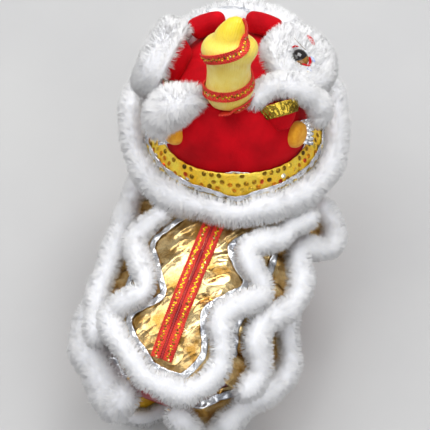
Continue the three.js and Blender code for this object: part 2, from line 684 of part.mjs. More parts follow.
// Lower tiers. At each station: where the cloth starts under the tier above, its spread against the widest
// station, and how far out its wave reaches on each side. fall gives its drop below the spine, going out.
const tiers = {
  flank: {
    stations: [
      { y: 62, inner: 60, spread: 0.86, left: 76, right: 76 },
      { y: 40, inner: 59, spread: 0.92, left: 97, right: 99 },
      { y: 12, inner: 56, spread: 0.97, left: 97, right: 103 },
      { y: -9, inner: 50, spread: 0.94, left: 96, right: 78 },
      { y: -21, inner: 46, spread: 0.93, left: 95, right: 77 },
      { y: -46, inner: 42, spread: 0.97, left: 88, right: 89 },
      { y: -75, inner: 41, spread: 0.99, left: 85, right: 87 },
      { y: -102, inner: 40.5, spread: 1, left: 82, right: 71 },
      { y: -120, inner: 40, spread: 1, left: 82, right: 68 },
      { y: -141, inner: 39, spread: 0.96, left: 75, right: 80 },
      { y: -157, inner: 38, spread: 0.92, left: 67, right: 77 },
      { y: -168, inner: 37, spread: 0.9, left: 61, right: 70 },
    ],
    fall: [
      { out: 38, drop: 11.6 },
      { out: 62, drop: 29 },
      { out: 78, drop: 42 },
      { out: 94, drop: 55 },
      { out: 116, drop: 72 },
    ],
  },
  hip: {
    stations: [
      { y: -58, inner: 69, spread: 0.985, left: 78, right: 78 },
      { y: -82, inner: 69.5, spread: 0.99, left: 83, right: 86 },
      { y: -112, inner: 70, spread: 1, left: 88, right: 99 },
      { y: -140, inner: 68, spread: 0.97, left: 91, right: 91 },
      { y: -160, inner: 65, spread: 0.925, left: 84, right: 78 },
      { y: -176, inner: 60, spread: 0.86, left: 68, right: 69 },
      { y: -188, inner: 49, spread: 0.7, left: 55, right: 61 },
      { y: -202, inner: 30, spread: 0.44, left: 38, right: 42 },
    ],
    fall: [
      { out: 64, drop: 50 },
      { out: 80, drop: 68 },
      { out: 92, drop: 86 },
      { out: 102, drop: 104 },
      { out: 116, drop: 124 },
    ],
  },
};
const tierRibbon = { from: 0.05, to: 0.82, v: 0.55, width: 4 };
for (const [tier, { stations: rows, fall }] of Object.entries(tiers)) {
  const front = rows[0].y;
  const rear = rows[rows.length - 1].y;
  for (const [side, sign] of sides) {
    const surface = (u, v) => {
      const y = sign > 0 ? mix(front, rear, u) : mix(rear, front, u);
      const x = mix(along(rows, "y", y, "inner"), along(rows, "y", y, side), v);
      const out = x / along(rows, "y", y, "spread");
      return new THREE.Vector3(sign * x, y, saddleTop(y) - along(fall, "out", out, "drop"));
    };
    add(costume, `${tier}_${side}`, wallGeometry(surface, 16, 3, lameWall), goldLame);
    const hem = lineOn(surface, 0, 1, 30, 0.99, trimFur * furFlat + 1.2);
    add(costume, `${tier}_fur_${side}`, furRoll(...hem, () => trimFur), whiteFur);
    const [from, to] = [tierRibbon.from, tierRibbon.to].map((u) => (sign > 0 ? u : 1 - u));
    const line = lineOn(surface, from, to, 26, tierRibbon.v, clearance + 0.4);
    add(costume, `${tier}_ribbon_${side}`, tape(...line, tierRibbon.width, tapeWall, 13), silverTape);
  }
}

// Hind leg sleeves with fur cuffs
const trunkRing = (v) => Array.from({ length: trunkGrid.around }, (_, k) =>
  trunkPoint(k / trunkGrid.around, mix(-0.004, 1.004, v), clearance));
const trunkCutter = toManifold(ringGeometry(steps(trunkGrid.along).map(trunkRing)));
for (const { side, x, y, radius } of sleeves) {
  const bore = upright(x, y, radius - lameWall, sleeveEnd - 1, sleeveTop + 1);
  const tube = upright(x, y, radius, sleeveEnd, sleeveTop).subtract(bore);
  add(costume, `sleeve_${side}`, fromManifold(tube.subtract(trunkCutter)), yellowLame);
  const cuffR = radius + cuffFur * furFlat + 1.6;
  const ring = Array.from({ length: 23 }, (_, k) => (2 * Math.PI * k) / 22.6);
  add(costume, `cuff_fur_${side}`, furRoll(
    ring.map((a) => new THREE.Vector3(x + cuffR * Math.cos(a), y + cuffR * Math.sin(a), sleeveEnd - 2)),
    ring.map((a) => new THREE.Vector3(Math.cos(a), Math.sin(a), 0)), () => cuffFur), whiteFur);
}

export default costume;
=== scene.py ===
# Lion dance costume for a small dog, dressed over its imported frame: fur, lamé, velour, braid and sequins.
# Sizes are millimetres in the coat's own frame and turn into metres where a mesh is made.
import math
import bmesh
import bpy
import numpy as np
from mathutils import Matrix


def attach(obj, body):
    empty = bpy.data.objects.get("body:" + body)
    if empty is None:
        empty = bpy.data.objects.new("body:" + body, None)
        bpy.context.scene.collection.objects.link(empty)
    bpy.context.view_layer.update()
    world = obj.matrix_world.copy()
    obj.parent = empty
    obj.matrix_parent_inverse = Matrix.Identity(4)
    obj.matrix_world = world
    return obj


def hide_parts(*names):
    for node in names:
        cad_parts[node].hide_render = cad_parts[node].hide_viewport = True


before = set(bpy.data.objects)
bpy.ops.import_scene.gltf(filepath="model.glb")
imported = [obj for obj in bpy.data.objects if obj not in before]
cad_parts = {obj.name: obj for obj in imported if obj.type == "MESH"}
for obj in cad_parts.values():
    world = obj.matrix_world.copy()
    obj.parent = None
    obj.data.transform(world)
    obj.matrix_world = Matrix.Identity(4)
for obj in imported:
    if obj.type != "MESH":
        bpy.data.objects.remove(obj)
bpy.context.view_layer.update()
mm = 0.001
turnOnce = 2 * math.pi

# Camera at the photograph's angle
view = {"place": (0.16484, -0.48407, 0.90703), "turn": 20, "tilt": 30, "lens": 83.72, "sensor": 36}


def addObject(name, data):
    item = bpy.data.objects.new(name, data)
    bpy.context.collection.objects.link(item)
    return item


camera = addObject("camera", bpy.data.cameras.new("camera"))
camera.location = view["place"]
camera.rotation_euler = (math.radians(view["tilt"]), 0, math.radians(view["turn"]))
camera.data.lens = view["lens"]
camera.data.sensor_width = view["sensor"]
bpy.context.scene.camera = camera
bpy.context.scene.view_settings.view_transform = "Standard"
print("camera set")


# Node and colour helpers
def hexColour(code):
    rgb = [int(code[i:i + 2], 16) / 255 for i in (1, 3, 5)]
    return [c / 12.92 if c <= 0.04045 else ((c + 0.055) / 1.055) ** 2.4 for c in rgb] + [1.0]


# A setting that is another node's output is linked, and any other is set
def addNode(tree, kind, settings={}):
    node = tree.nodes.new(kind)
    for key, value in settings.items():
        if isinstance(value, bpy.types.NodeSocket):
            tree.links.new(value, node.inputs[key])
        elif isinstance(key, str) and hasattr(node, key):
            setattr(node, key, value)
        else:
            node.inputs[key].default_value = value
    return node


def startMaterial(name, finish):
    material = bpy.data.materials.new(name)
    material.use_nodes = True
    tree = material.node_tree
    shader = tree.nodes["Principled BSDF"]
    for key, value in finish.items():
        shader.inputs[key].default_value = value
    place = addNode(tree, "ShaderNodeTexCoord").outputs["Object"]
    return material, tree, shader, place


# Noise with patches of patch mm, a wave with threads thread mm apart, and a value that the piece carries
def speckle(tree, place, patch, detail, output="Fac"):
    return addNode(tree, "ShaderNodeTexNoise", {
        "Scale": 1 / (patch * mm), "Detail": detail, "Vector": place}).outputs[output]


def weave(tree, place, thread, distortion):
    return addNode(tree, "ShaderNodeTexWave", {
        "Scale": 0.31 / (thread * mm), "Distortion": distortion, "Detail": 2, "Vector": place}).outputs["Fac"]


def carried(tree, name, output="Fac"):
    return addNode(tree, "ShaderNodeAttribute", {"attribute_name": name}).outputs[output]


# Two colours mixed by share, each a hex code or a node's output
def blendTones(tree, share, first, second, way="MIX"):
    tones = [hexColour(tone) if isinstance(tone, str) else tone for tone in (first, second)]
    return addNode(tree, "ShaderNodeMix", {
        "data_type": "RGBA", "blend_type": way, 0: share, 6: tones[0], 7: tones[1]}).outputs[2]


# Two colours mixed by a mottled noise whose patches are patch mm wide
def mottle(tree, shader, place, patch, colours):
    share = addNode(tree, "ShaderNodeMapRange", {
        "From Min": 0.35, "From Max": 0.65, "Value": speckle(tree, place, patch, 4)})
    blend = blendTones(tree, share.outputs[0], *colours)
    tree.links.new(blend, shader.inputs["Base Color"])
    return blend


# Bumps laid one over another, each (height output, strength, depth in mm)
def raiseBumps(tree, shader, *layers):
    below = {}
    for height, strength, depth in layers:
        bump = addNode(tree, "ShaderNodeBump", {
            "Strength": strength, "Distance": depth * mm, "Height": height, **below})
        below = {"Normal": bump.outputs["Normal"]}
    tree.links.new(below["Normal"], shader.inputs["Normal"])


# Cut-pile velour: a deep soft red that darkens into the pile and catches a pale sheen at the turn
def cutVelour(name, colours, sheenTint):
    material, tree, shader, place = startMaterial(name, {
        "Roughness": 0.8, "Sheen Weight": 0.2, "Sheen Roughness": 0.45,
        "Sheen Tint": hexColour(sheenTint), "Specular IOR Level": 0.12})
    mottle(tree, shader, place, 26, colours)
    pile, brushed = speckle(tree, place, 1.1, 3), speckle(tree, place, 7, 2)
    raiseBumps(tree, shader, (pile, 0.35, 0.5), (brushed, 0.3, 1.2))
    return material


# Lamé: foil bonded to a thin knit. It creases sharply, with bright facets beside brown hollows
# and a fine sparkle
def foilLame(name, colours, finish, crease, creaseDepth):
    material, tree, shader, place = startMaterial(name, finish)
    shift = addNode(tree, "ShaderNodeVectorMath", {
        "operation": "MULTIPLY_ADD", 0: speckle(tree, place, 20, 2, "Color"), 1: (0.016, 0.016, 0.016),
        2: place}).outputs[0]
    large, small = [addNode(tree, "ShaderNodeTexVoronoi", {
        "Scale": 1 / (crease * share * mm), "Randomness": 1.0, "Vector": shift}).outputs["Distance"]
        for share in (1, 0.4)]
    knit = speckle(tree, place, 0.9, 2)
    blend = mottle(tree, shader, shift, 16, colours)
    speck = addNode(tree, "ShaderNodeMapRange", {
        "From Min": 0.3, "From Max": 0.7, "To Min": 0.72, "To Max": 1.18, "Value": knit})
    tone = blendTones(tree, 1.0, blend, speck.outputs[0], "MULTIPLY")
    tree.links.new(tone, shader.inputs["Base Color"])
    raiseBumps(tree, shader, (large, 0.8, creaseDepth), (small, 0.25, creaseDepth * 0.3), (knit, 0.5, 0.16))
    return material


# Faux fur: polyester pile, near white at its tips, with a cool grey painted shade down at the roots for the
# dimness deep in the pile
def fauxFur():
    material, tree, shader, _ = startMaterial("fauxFur", {
        "Roughness": 0.75, "Sheen Weight": 0.15, "Sheen Roughness": 0.6, "Specular IOR Level": 0.2})
    paintedRootShadeFade = addNode(tree, "ShaderNodeMapRange", {
        "From Min": 0.0, "From Max": 0.85, "Value": carried(tree, "tip")})
    # painted shade: the pale grey at the roots stands for the shade deep in the pile and fades to the white
    # of the tips
    pile = blendTones(tree, paintedRootShadeFade.outputs[0], "#f0f1f5", "#fffefc")
    tint = blendTones(tree, carried(tree, "lock"), pile, "#eff1f7", "MULTIPLY")
    tree.links.new(tint, shader.inputs["Base Color"])
    # both faces of a strand take the light as the roll below them does
    faceSide = addNode(tree, "ShaderNodeNewGeometry")
    sign = addNode(tree, "ShaderNodeMapRange", {
        "To Min": 1.0, "To Max": -1.0, "Value": faceSide.outputs["Backfacing"]})
    outward = addNode(tree, "ShaderNodeVectorMath", {
        "operation": "SCALE", 0: faceSide.outputs["Normal"], "Scale": sign.outputs[0]})
    tree.links.new(outward.outputs[0], shader.inputs["Normal"])
    return material


# Stuffed satin of the horn: pale body, a gold netted cap and a lemon tip, told apart by the piece's own shade
def hornSatin():
    material, tree, shader, place = startMaterial("floatSatinHorn", satinFinish)
    blend = mottle(tree, shader, place, 14, ("#f6e27e", "#efd154"))
    lemon = blendTones(tree, carried(tree, "shade"), blend, "#f6d822")
    tree.links.new(lemon, shader.inputs["Base Color"])
    threads, pucker = weave(tree, place, 2, 2.0), speckle(tree, place, 7, 3)
    raiseBumps(tree, shader, (threads, 0.5, 0.35), (pucker, 0.6, 1.4))
    return material


# Felt: matted fibre, quite matt, with a fine uneven nap
def matFelt(name, colours):
    material, tree, shader, place = startMaterial(name, {
        "Roughness": 0.9, "Sheen Weight": 0.2, "Specular IOR Level": 0.2})
    mottle(tree, shader, place, 6, colours)
    raiseBumps(tree, shader, (speckle(tree, place, 0.9, 4), 0.45, 0.5))
    return material


# Satin: a smooth float weave with a soft long highlight. Its threads are drawn at 0.8 mm so that they show
def floatSatin(name, colours, finish, thread=0.8):
    material, tree, shader, place = startMaterial(name, finish)
    mottle(tree, shader, place, 18, colours)
    threads, pucker = weave(tree, place, thread, 1.5), speckle(tree, place, 6, 3)
    raiseBumps(tree, shader, (threads, 0.2, 0.15), (pucker, 0.5, 0.9))
    return material


# Sequin foil: mirror-bright punched discs, each with a colour carried by the piece: the foil's own colour,
# and on the ruff also some painted glints and painted dark reflections
def sequinFoil():
    material, tree, shader, place = startMaterial("sequinFoil", {"Metallic": 0.75, "Roughness": 0.22})
    grain = speckle(tree, place, 1.6, 1)
    worn = addNode(tree, "ShaderNodeMapRange", {"To Min": 0.7, "To Max": 1.15, "Value": grain})
    tone = blendTones(tree, 1.0, carried(tree, "foil", "Color"), worn.outputs[0], "MULTIPLY")
    tree.links.new(tone, shader.inputs["Base Color"])
    raiseBumps(tree, shader, (grain, 0.3, 0.3))
    return material


# Cast resin: hard and glossy, almost black, with a trace of brown cloud in it
def castResin(name, colours, roughness):
    material, tree, shader, place = startMaterial(name, {
        "Roughness": roughness, "Coat Weight": 0.6, "Coat Roughness": 0.05})
    mottle(tree, shader, place, 3, colours)
    raiseBumps(tree, shader, (speckle(tree, place, 4, 1), 0.08, 0.2))
    return material


satinFinish = {"Roughness": 0.42, "Sheen Weight": 0.15, "Specular IOR Level": 0.5}
goldFinish = {"Metallic": 0.95, "Roughness": 0.21}
silverFinish = {"Metallic": 0.9, "Roughness": 0.26}
fabric = {
    "red_velour": cutVelour("cutVelourRed", ("#cc0316", "#ac0211"), "#ff5858"),
    "red_satin": floatSatin("floatSatinRed", ("#b80f1a", "#8d0a12"), satinFinish),
    "gold_lame": foilLame("foilLameGold", ("#f2d79e", "#b98c44"), goldFinish, 21, 4.2),
    "yellow_lame": foilLame("foilLameYellow", ("#f9cf2c", "#e09a10"),
                            {"Metallic": 0.45, "Roughness": 0.34}, 11, 2),
    "yellow_plush": hornSatin(),
    "gold_sequin": foilLame("foilClothGold", ("#ffe24e", "#ffc21c"),
                            {"Metallic": 0.15, "Roughness": 0.3}, 9, 1.4),
    "red_braid": floatSatin("wovenBraidRed", ("#ee4630", "#cf2419"), {"Roughness": 0.55}, 1.0),
    "silver_tape": foilLame("foilTapeSilver", ("#fbfcfe", "#c9cdd6"), silverFinish, 8, 1.6),
    "gold_tape": foilLame("foilTapeGold", ("#e2c34c", "#82681e"), goldFinish, 6, 1.8),
    "white_fur": fauxFur(),
    "orange_felt": matFelt("matFeltOrange", ("#f2b234", "#e2941c")),
    "black_resin": castResin("castResinBlack", ("#050505", "#1a100a"), 0.08),
    "white_satin": floatSatin("floatSatinWhite", ("#f4f3f0", "#dfe0e4"), satinFinish),
    "silver_glitter": foilLame("glitterClothSilver", ("#ffffff", "#b9bec8"),
                               {"Metallic": 0.4, "Roughness": 0.35}, 3, 1.2),
    "blue_felt": matFelt("matFeltBlue", ("#8ea4e2", "#c3cdf0")),
    "brown_resin": castResin("castResinBrown", ("#6a4416", "#a0722c"), 0.15),
    "brown_thread": matFelt("matThreadBrown", ("#6b5a48", "#8d7a64")),
}
# Fabrics that go under another fabric's slot
sequinFabric = sequinFoil()
print("materials made", len(fabric) + 1)


# A table's column at values between its rows, on a smooth curve through them
def along(rows, value, column=1):
    table = np.array(sorted(rows), float)
    keys, heights = table[:, 0], table[:, column]
    slope = np.gradient(heights, keys)
    slope[1:-1] = (heights[2:] - heights[:-2]) / (keys[2:] - keys[:-2])
    at = np.clip(np.asarray(value, float), keys[0], keys[-1])
    i = np.clip(np.searchsorted(keys, at) - 1, 0, len(keys) - 2)
    span = keys[i + 1] - keys[i]
    t = (at - keys[i]) / span
    h0, h1, m0, m1 = heights[i], heights[i + 1], slope[i] * span, slope[i + 1] * span
    return h0 + t * (m0 + t * (3 * (h1 - h0) - 2 * m0 - m1 + t * (2 * (h0 - h1) + m0 + m1)))


def mix(a, b, t):
    return a + (b - a) * t


def unit(v):
    return v / np.maximum(np.linalg.norm(v, axis=-1, keepdims=True), 1e-9)


def points(*columns):
    return np.stack(np.broadcast_arrays(*columns), axis=-1).astype(float)


# The outward directions of a surface, and the patch of area round each spot
def facing(surface, u, v):
    step = 2e-3
    u0, u1 = np.clip(u - step, 0, 1), np.clip(u + step, 0, 1)
    v0, v1 = np.clip(v - step, 0, 1), np.clip(v + step, 0, 1)
    across = np.cross(surface(u1, v) - surface(u0, v), surface(u, v1) - surface(u, v0))
    return unit(across), np.linalg.norm(across, axis=-1)


def meshFrom(bm, name):
    mesh = bpy.data.meshes.new(name)
    bm.to_mesh(mesh)
    bm.free()
    return mesh


# A mesh becomes a piece with its fabric, its slot and the solids that it stands for
def makePiece(name, mesh, slot, nodes=(), material=None):
    mesh.materials.append(material or fabric[slot])
    mesh.shade_smooth()
    piece = addObject(name, mesh)
    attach(piece, "root")
    if nodes:
        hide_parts(*nodes)
    return piece


# Cloth shaped from a flat grid: surface(u, v) says where each spot of the grid lies
# and paint(u, v) how far it takes a second colour
def shapeCloth(name, surface, counts, wall, slot, nodes=(), wrapped=False, paint=None):
    bm = bmesh.new()
    bmesh.ops.create_grid(bm, x_segments=counts[0], y_segments=counts[1], size=0.5)
    flat = np.array([vert.co for vert in bm.verts])[:, :2] + 0.5
    places = surface(flat[:, 0], flat[:, 1]) * mm
    for vert, place in zip(bm.verts, places):
        vert.co = place
    if paint:
        shade = bm.verts.layers.float.new("shade")
        for vert, value in zip(bm.verts, paint(flat[:, 0], flat[:, 1])):
            vert[shade] = value
    if wrapped:
        bmesh.ops.remove_doubles(bm, verts=bm.verts, dist=2e-5)
    piece = makePiece(name, meshFrom(bm, name), slot, nodes)
    if wall:
        thick = piece.modifiers.new("wall", "SOLIDIFY")
        thick.thickness = wall * mm
        thick.offset = -1
    return piece


# A closed piece: its grid is joined round and needs no wall
def shapeSolid(name, surface, counts, slot, nodes=(), paint=None):
    return shapeCloth(name, surface, counts, 0, slot, nodes, True, paint)


# Cloth cut flat: its length along and across, measured over the shaped surface; the values are not kept or
# used
def declareCloth(surface):
    fine = np.linspace(0, 1, 201)
    runs = [surface(fine, np.full_like(fine, k)) for k in (0.1, 0.5, 0.9)]
    drops = [surface(np.full_like(fine, k), fine) for k in (0.1, 0.3, 0.5, 0.7, 0.9)]
    length = max(np.linalg.norm(np.diff(run, axis=0), axis=1).sum() for run in runs) * mm
    width = max(np.linalg.norm(np.diff(drop, axis=0), axis=1).sum() for drop in drops) * mm


# Stuffing a closed piece: it is remeshed, blown up a little as cloth and kept within cap mm of its cut
stuffing = {"pressure": 4, "moments": 20}


def stuff(piece, voxel, cap):
    even = piece.modifiers.new("even", "REMESH")
    even.mode = "VOXEL"
    even.voxel_size = voxel * mm
    cut = bpy.data.meshes.new_from_object(piece.evaluated_get(bpy.context.evaluated_depsgraph_get()))
    piece.modifiers.clear()
    piece.data = cut
    start = np.array([vert.co for vert in cut.vertices])
    cloth = piece.modifiers.new("cloth", "CLOTH")
    cloth.settings.use_pressure = True
    cloth.settings.uniform_pressure_force = stuffing["pressure"]
    cloth.settings.effector_weights.gravity = 0
    cloth.point_cache.frame_start, cloth.point_cache.frame_end = 1, stuffing["moments"]
    for moment in range(1, stuffing["moments"] + 1):
        bpy.context.scene.frame_set(moment)
    blown = piece.evaluated_get(bpy.context.evaluated_depsgraph_get()).data
    move = np.array([vert.co for vert in blown.vertices]) - start
    size = np.linalg.norm(move, axis=1, keepdims=True)
    move *= np.minimum(1, cap * mm / np.maximum(size, 1e-9))
    piece.modifiers.clear()
    cut.vertices.foreach_set("co", (start + move).ravel())
    cut.shade_smooth()
    bpy.context.scene.frame_set(1)
    soft = piece.modifiers.new("soft", "SUBSURF")
    soft.levels = soft.render_levels = 1
    print(f"{piece.name}: stuffed, moved up to {1000 * float(size.max()):.1f} mm")


# A line with its length, and the directions along it, off the cloth and across
def layLine(spots, ups, spacing=2.0, soften=0):
    spots, ups = np.array(spots, float), np.array(ups, float)
    gaps = np.linalg.norm(np.diff(spots, axis=0), axis=1)
    run = np.concatenate([[0], np.cumsum(gaps)])
    count = max(6, int(run[-1] / spacing))
    even = np.linspace(0, run[-1], count + 1)
    spot = np.stack([np.interp(even, run, spots[:, k]) for k in range(3)], 1)
    up = np.stack([np.interp(even, run, ups[:, k]) for k in range(3)], 1)
    for _ in range(soften):
        spot[1:-1] = (spot[:-2] + 2 * spot[1:-1] + spot[2:]) / 4
        up[1:-1] = (up[:-2] + 2 * up[1:-1] + up[2:]) / 4
    tangent = unit(np.gradient(spot, axis=0))
    up = unit(up - tangent * np.sum(up * tangent, axis=1, keepdims=True))
    return {"spot": spot, "up": up, "tangent": tangent, "across": np.cross(tangent, up), "length": run[-1]}


def atLine(line, u):
    share = np.linspace(0, 1, len(line["spot"]))
    return [np.stack([np.interp(u, share, line[key][:, k]) for k in range(3)], -1)
            for key in ("spot", "up", "across", "tangent")]


# A round roll along a line, with domed ends. flat squeezes it towards the cloth
def rollOn(line, radius, flat=0.9, blunt=1.0):
    def surface(u, v):
        spot, up, across, _ = atLine(line, u)
        reach = radius(u) if callable(radius) else radius
        near = np.clip(np.minimum(u, 1 - u) * line["length"] / (blunt * reach), 0, 1)
        r = (reach * np.sqrt(np.maximum(1 - (1 - near) ** 2, 0)))[:, None]
        angle = (turnOnce * v)[:, None]
        return spot + across * r * np.cos(angle) + up * r * flat * np.sin(angle)
    return surface


# A strip of tape on a line: crinkle lifts it in small uneven waves
def tapeOn(line, width, lift=0.2, crinkle=0.0, wave=5.0, seed=1):
    phase = np.random.default_rng(seed).uniform(0, turnOnce, 6)

    def surface(u, v):
        spot, up, across, _ = atLine(line, u)
        s = u * line["length"] / wave
        ripple = np.sin(s * 3.1 + phase[0] + 3 * v) + 0.7 * np.sin(s * 5.3 + phase[1] - 4 * v)
        ripple = ripple + 0.6 * np.sin(s * 1.7 + phase[2]) * (v - 0.5) * 2
        rise = lift + crinkle * (1 + ripple / 2)
        sway = width * (0.5 - v) + crinkle * 0.5 * np.sin(s * 1.3 + phase[3])
        return spot + across * sway[:, None] + up * rise[:, None]
    return surface


# Fur. core and reach are the backing's radius and the pile's length against the roll's radius. seat is how
# far the roll's middle stands off the cloth, band the share of the roll that is covered and nap the brushing
fur = {"lock": 3.6, "width": 0.46, "core": 0.84, "reach": 0.56, "seat": 0.9, "band": (0.0, 1.0),
       "nap": (0, 0, -0.3), "gather": 0.14, "lockLean": 0.15, "strandLean": 0.22, "bow": 0.25,
       "lockKinds": 4099}


# Mesh strands over a surface. They gather in locks, bow outwards and take their shading from the roll below
def growFur(name, surface, span, pile, seed):
    rng = np.random.default_rng(seed)
    count, lock = pile["count"], pile["lock"]
    u, v = rng.random(count * 4), mix(*pile["band"], rng.random(count * 4))
    area = facing(surface, u, v % 1)[1]
    kept = np.nonzero(rng.random(len(u)) < area / np.percentile(area, 96))[0][:count]
    u, v = u[kept], v[kept] % 1
    root, (out, _) = surface(u, v), facing(surface, u, v)
    row = np.floor(v * span[1] / lock)
    stagger = 0.5 * (row % 2)
    column = np.floor(u * span[0] / lock + stagger)
    cell = (column * 131 + row * 977).astype(int) % pile["lockKinds"]
    dice = rng.normal(size=(pile["lockKinds"], 3))
    lockU = np.clip((column + 0.5 - stagger) * lock / span[0], 0, 1)
    lockV = ((row + 0.5) * lock / span[1]) % 1
    lockOut = facing(surface, lockU, lockV)[0]
    hair = pile["length"] * rng.uniform(0.75, 1.2, len(u))[:, None]
    nap, sway = np.array(pile["nap"]), pile["lockLean"] * dice[cell]
    lean = unit(out + nap + sway + pile["strandLean"] * rng.normal(size=root.shape))
    lockTip = surface(lockU, lockV) + unit(lockOut + nap + sway) * pile["length"] * 1.02
    tip = root + lean * hair
    tip = mix(tip, lockTip, pile["gather"] * rng.uniform(0.5, 1.2, (len(u), 1)))
    if "bare" in pile:  # the pile is clipped short round a fitting
        fitting, reach = pile["bare"]
        tip = root + (tip - root) * np.clip(np.linalg.norm(root - fitting, axis=1) / reach, 0.25, 1)[:, None]
    middle = 0.5 * (root + tip) + pile["bow"] * out * np.linalg.norm(tip - root, axis=1, keepdims=True)
    wide = unit(np.cross(tip - root, out + 0.25 * rng.normal(size=root.shape))) * pile["width"] / 2
    corners = np.stack([root - wide, root + wide, middle - wide * 0.8, middle + wide * 0.8, tip], 1)
    starts = 5 * np.arange(len(u))[:, None]
    loops = (starts + np.array([0, 1, 3, 2, 2, 3, 4])).ravel()
    mesh = bpy.data.meshes.new(name)
    mesh.vertices.add(5 * len(u))
    mesh.vertices.foreach_set("co", (corners * mm).ravel())
    mesh.loops.add(len(loops))
    mesh.loops.foreach_set("vertex_index", loops)
    mesh.polygons.add(2 * len(u))
    mesh.polygons.foreach_set("loop_start", (7 * np.arange(len(u))[:, None] + np.array([0, 4])).ravel())
    mesh.update(calc_edges=True)
    # how far out each corner lies, 0.25 at the root to 1 at the tip: the fur shader paints shade from it,
    # greyer towards the roots
    values = np.tile([0.25, 0.25, 0.7, 0.7, 1.0], len(u))
    mesh.attributes.new("tip", "FLOAT", "POINT").data.foreach_set("value", values)
    dark = np.clip(np.abs(dice[cell, 0]) * 0.12 + rng.uniform(0, 0.22, len(u)), 0, 1)
    mesh.attributes.new("lock", "FLOAT", "POINT").data.foreach_set("value", np.repeat(dark, 5))
    piece = makePiece(name, mesh, "white_fur")
    soft = unit(out + 0.07 * dice[cell] + 0.06 * rng.normal(size=out.shape))
    mesh.normals_split_custom_set_from_vertices(np.repeat(soft, 5, axis=0))
    piece.visible_shadow = False  # light sinks through real pile, so the strands shade only by their roll
    return piece


# A fur edging: the fur strip's backing as a roll, with its pile on it
def furEdge(name, line, radius, pile, seed, node):
    widest = float(np.max(radius(np.linspace(0, 1, 20)))) if callable(radius) else radius

    def inner(u):
        run = u * line["length"]
        lump = 1 + 0.1 * np.sin(run / 17 + seed) + 0.08 * np.sin(run / 7.3 + 2 * seed)
        lump += 0.05 * np.sin(run / 3.1)
        return pile["core"] * lump * (radius(u) if callable(radius) else radius)
    core = rollOn(line, inner)
    # the backing carries no tip value, so the fur shader paints it all over with the roots' painted shade
    backing = shapeSolid(name + "Backing", core, (max(8, int(line["length"] / 4)), 14), "white_fur", (node,))
    span = (line["length"], turnOnce * widest * pile["core"])
    strands = growFur(name + "Pile", core, span, dict(pile, length=widest * pile["reach"]), seed)
    return [backing, strands]


# Many copies of one small shape, joined: each has a place, its three directions, a size and a colour
def strew(name, bm, places, frames, sizes, slot, colours=None, material=None):
    shape = np.array([vert.co for vert in bm.verts])
    bm.verts.index_update()
    outlines = [[vert.index for vert in face.verts] for face in bm.faces]
    bm.free()
    places, frames = np.array(places), np.array(frames)
    sizes = np.broadcast_to(np.array(sizes, float), (len(places), 3))
    local = shape[None] * sizes[:, None]
    spots = places[:, None] + np.einsum("nvk,nkx->nvx", local, frames)
    mesh = bpy.data.meshes.new(name)
    faces = [[i + n * len(shape) for i in outline] for n in range(len(places)) for outline in outlines]
    mesh.from_pydata((spots * mm).reshape(-1, 3).tolist(), [], faces)
    if colours is not None:
        tint = mesh.attributes.new("foil", "FLOAT_COLOR", "POINT")
        tint.data.foreach_set("color", np.repeat(np.array(colours), len(shape), axis=0).ravel())
    piece = makePiece(name, mesh, slot, (), material)
    mesh.set_sharp_from_angle(angle=math.radians(60))
    return piece


def sequinShape(corners):
    bm = bmesh.new()
    bmesh.ops.create_cone(bm, cap_ends=True, segments=corners, radius1=0.5, radius2=0.12, depth=0.14)
    return bm


def beadShape():
    bm = bmesh.new()
    bmesh.ops.create_icosphere(bm, subdivisions=1, radius=0.5)
    return bm


# Axes that stand on a cloth, tilted a little by chance so that each disc catches the light its own way
def tilted(normals, across, rng, tilt):
    up = unit(normals + tilt * rng.normal(size=normals.shape))
    a = unit(across - up * np.sum(across * up, axis=1, keepdims=True))
    return np.stack([a, np.cross(up, a), up], axis=1)


# Creases pulled in the cloth: each runs from one spot to another, sharp along its crest
def creaseHeight(creases, x, y):
    total = np.zeros_like(x)
    for ax, ay, bx, by, height, width in creases:
        run = (bx - ax) ** 2 + (by - ay) ** 2
        t = np.clip(((x - ax) * (bx - ax) + (y - ay) * (by - ay)) / run, 0, 1)
        off = np.hypot(x - mix(ax, bx, t), y - mix(ay, by, t))
        total += height * np.exp(-off / width) * np.sin(math.pi * np.clip(t * 0.86 + 0.12, 0, 1))
    return total


# The hood, in its own frame: the middle of the dome is the origin and +Y is the way the lion looks
hood = {
    "centre": (-17, 74, 91), "turn": math.radians(20), "halfWidth": 74, "front": 98, "back": 80, "height": 70,
    "wall": 2.2, "rim": [(0, 86), (50, 88), (85, 106), (130, 104), (180, 92)], "puff": 0.8, "puffPitch": 0.09,
    "seams": (0, 62, 118, 180, 242, 298), "seamDepth": 0.9, "seamWidth": 1.5, "seamArm": 78}
sides = {"left": -1, "right": 1}


def onHead(p):
    c, s = math.cos(hood["turn"]), math.sin(hood["turn"])
    x, y, z = p[..., 0], p[..., 1], p[..., 2]
    cx, cy, cz = hood["centre"]
    return points(c * x - s * y + cx, s * x + c * y + cy, z + cz)


def turnHead(d):
    return onHead(np.asarray(d, float)) - np.array(hood["centre"])


def domeSpot(bearing, fall, lift=0.0):
    b, f = np.radians(bearing), np.radians(fall)
    length = np.where(np.cos(b) > 0, hood["front"], hood["back"])
    p = points(hood["halfWidth"] * np.sin(f) * np.sin(b), length * np.sin(f) * np.cos(b),
               hood["height"] * np.cos(f))
    return p + domeOut(p) * np.asarray(lift, float)[..., None]


def domeOut(p):
    length = np.where(p[..., 1] > 0, hood["front"], hood["back"])
    return unit(points(p[..., 0] / hood["halfWidth"] ** 2, p[..., 1] / length ** 2,
                       p[..., 2] / hood["height"] ** 2))


def turnBetween(bearing, other=0):
    return np.abs((np.asarray(bearing, float) - other + 540) % 360 - 180)


def rimFall(bearing):
    return along(hood["rim"], turnBetween(bearing))


def domeLine(start, end, fallAt, lift, spacing=2.0, soften=0):
    bearing = np.linspace(start, end, 160)
    foot = domeSpot(bearing, fallAt(bearing))
    return layLine(onHead(foot + domeOut(foot) * lift), turnHead(domeOut(foot)), spacing, soften)


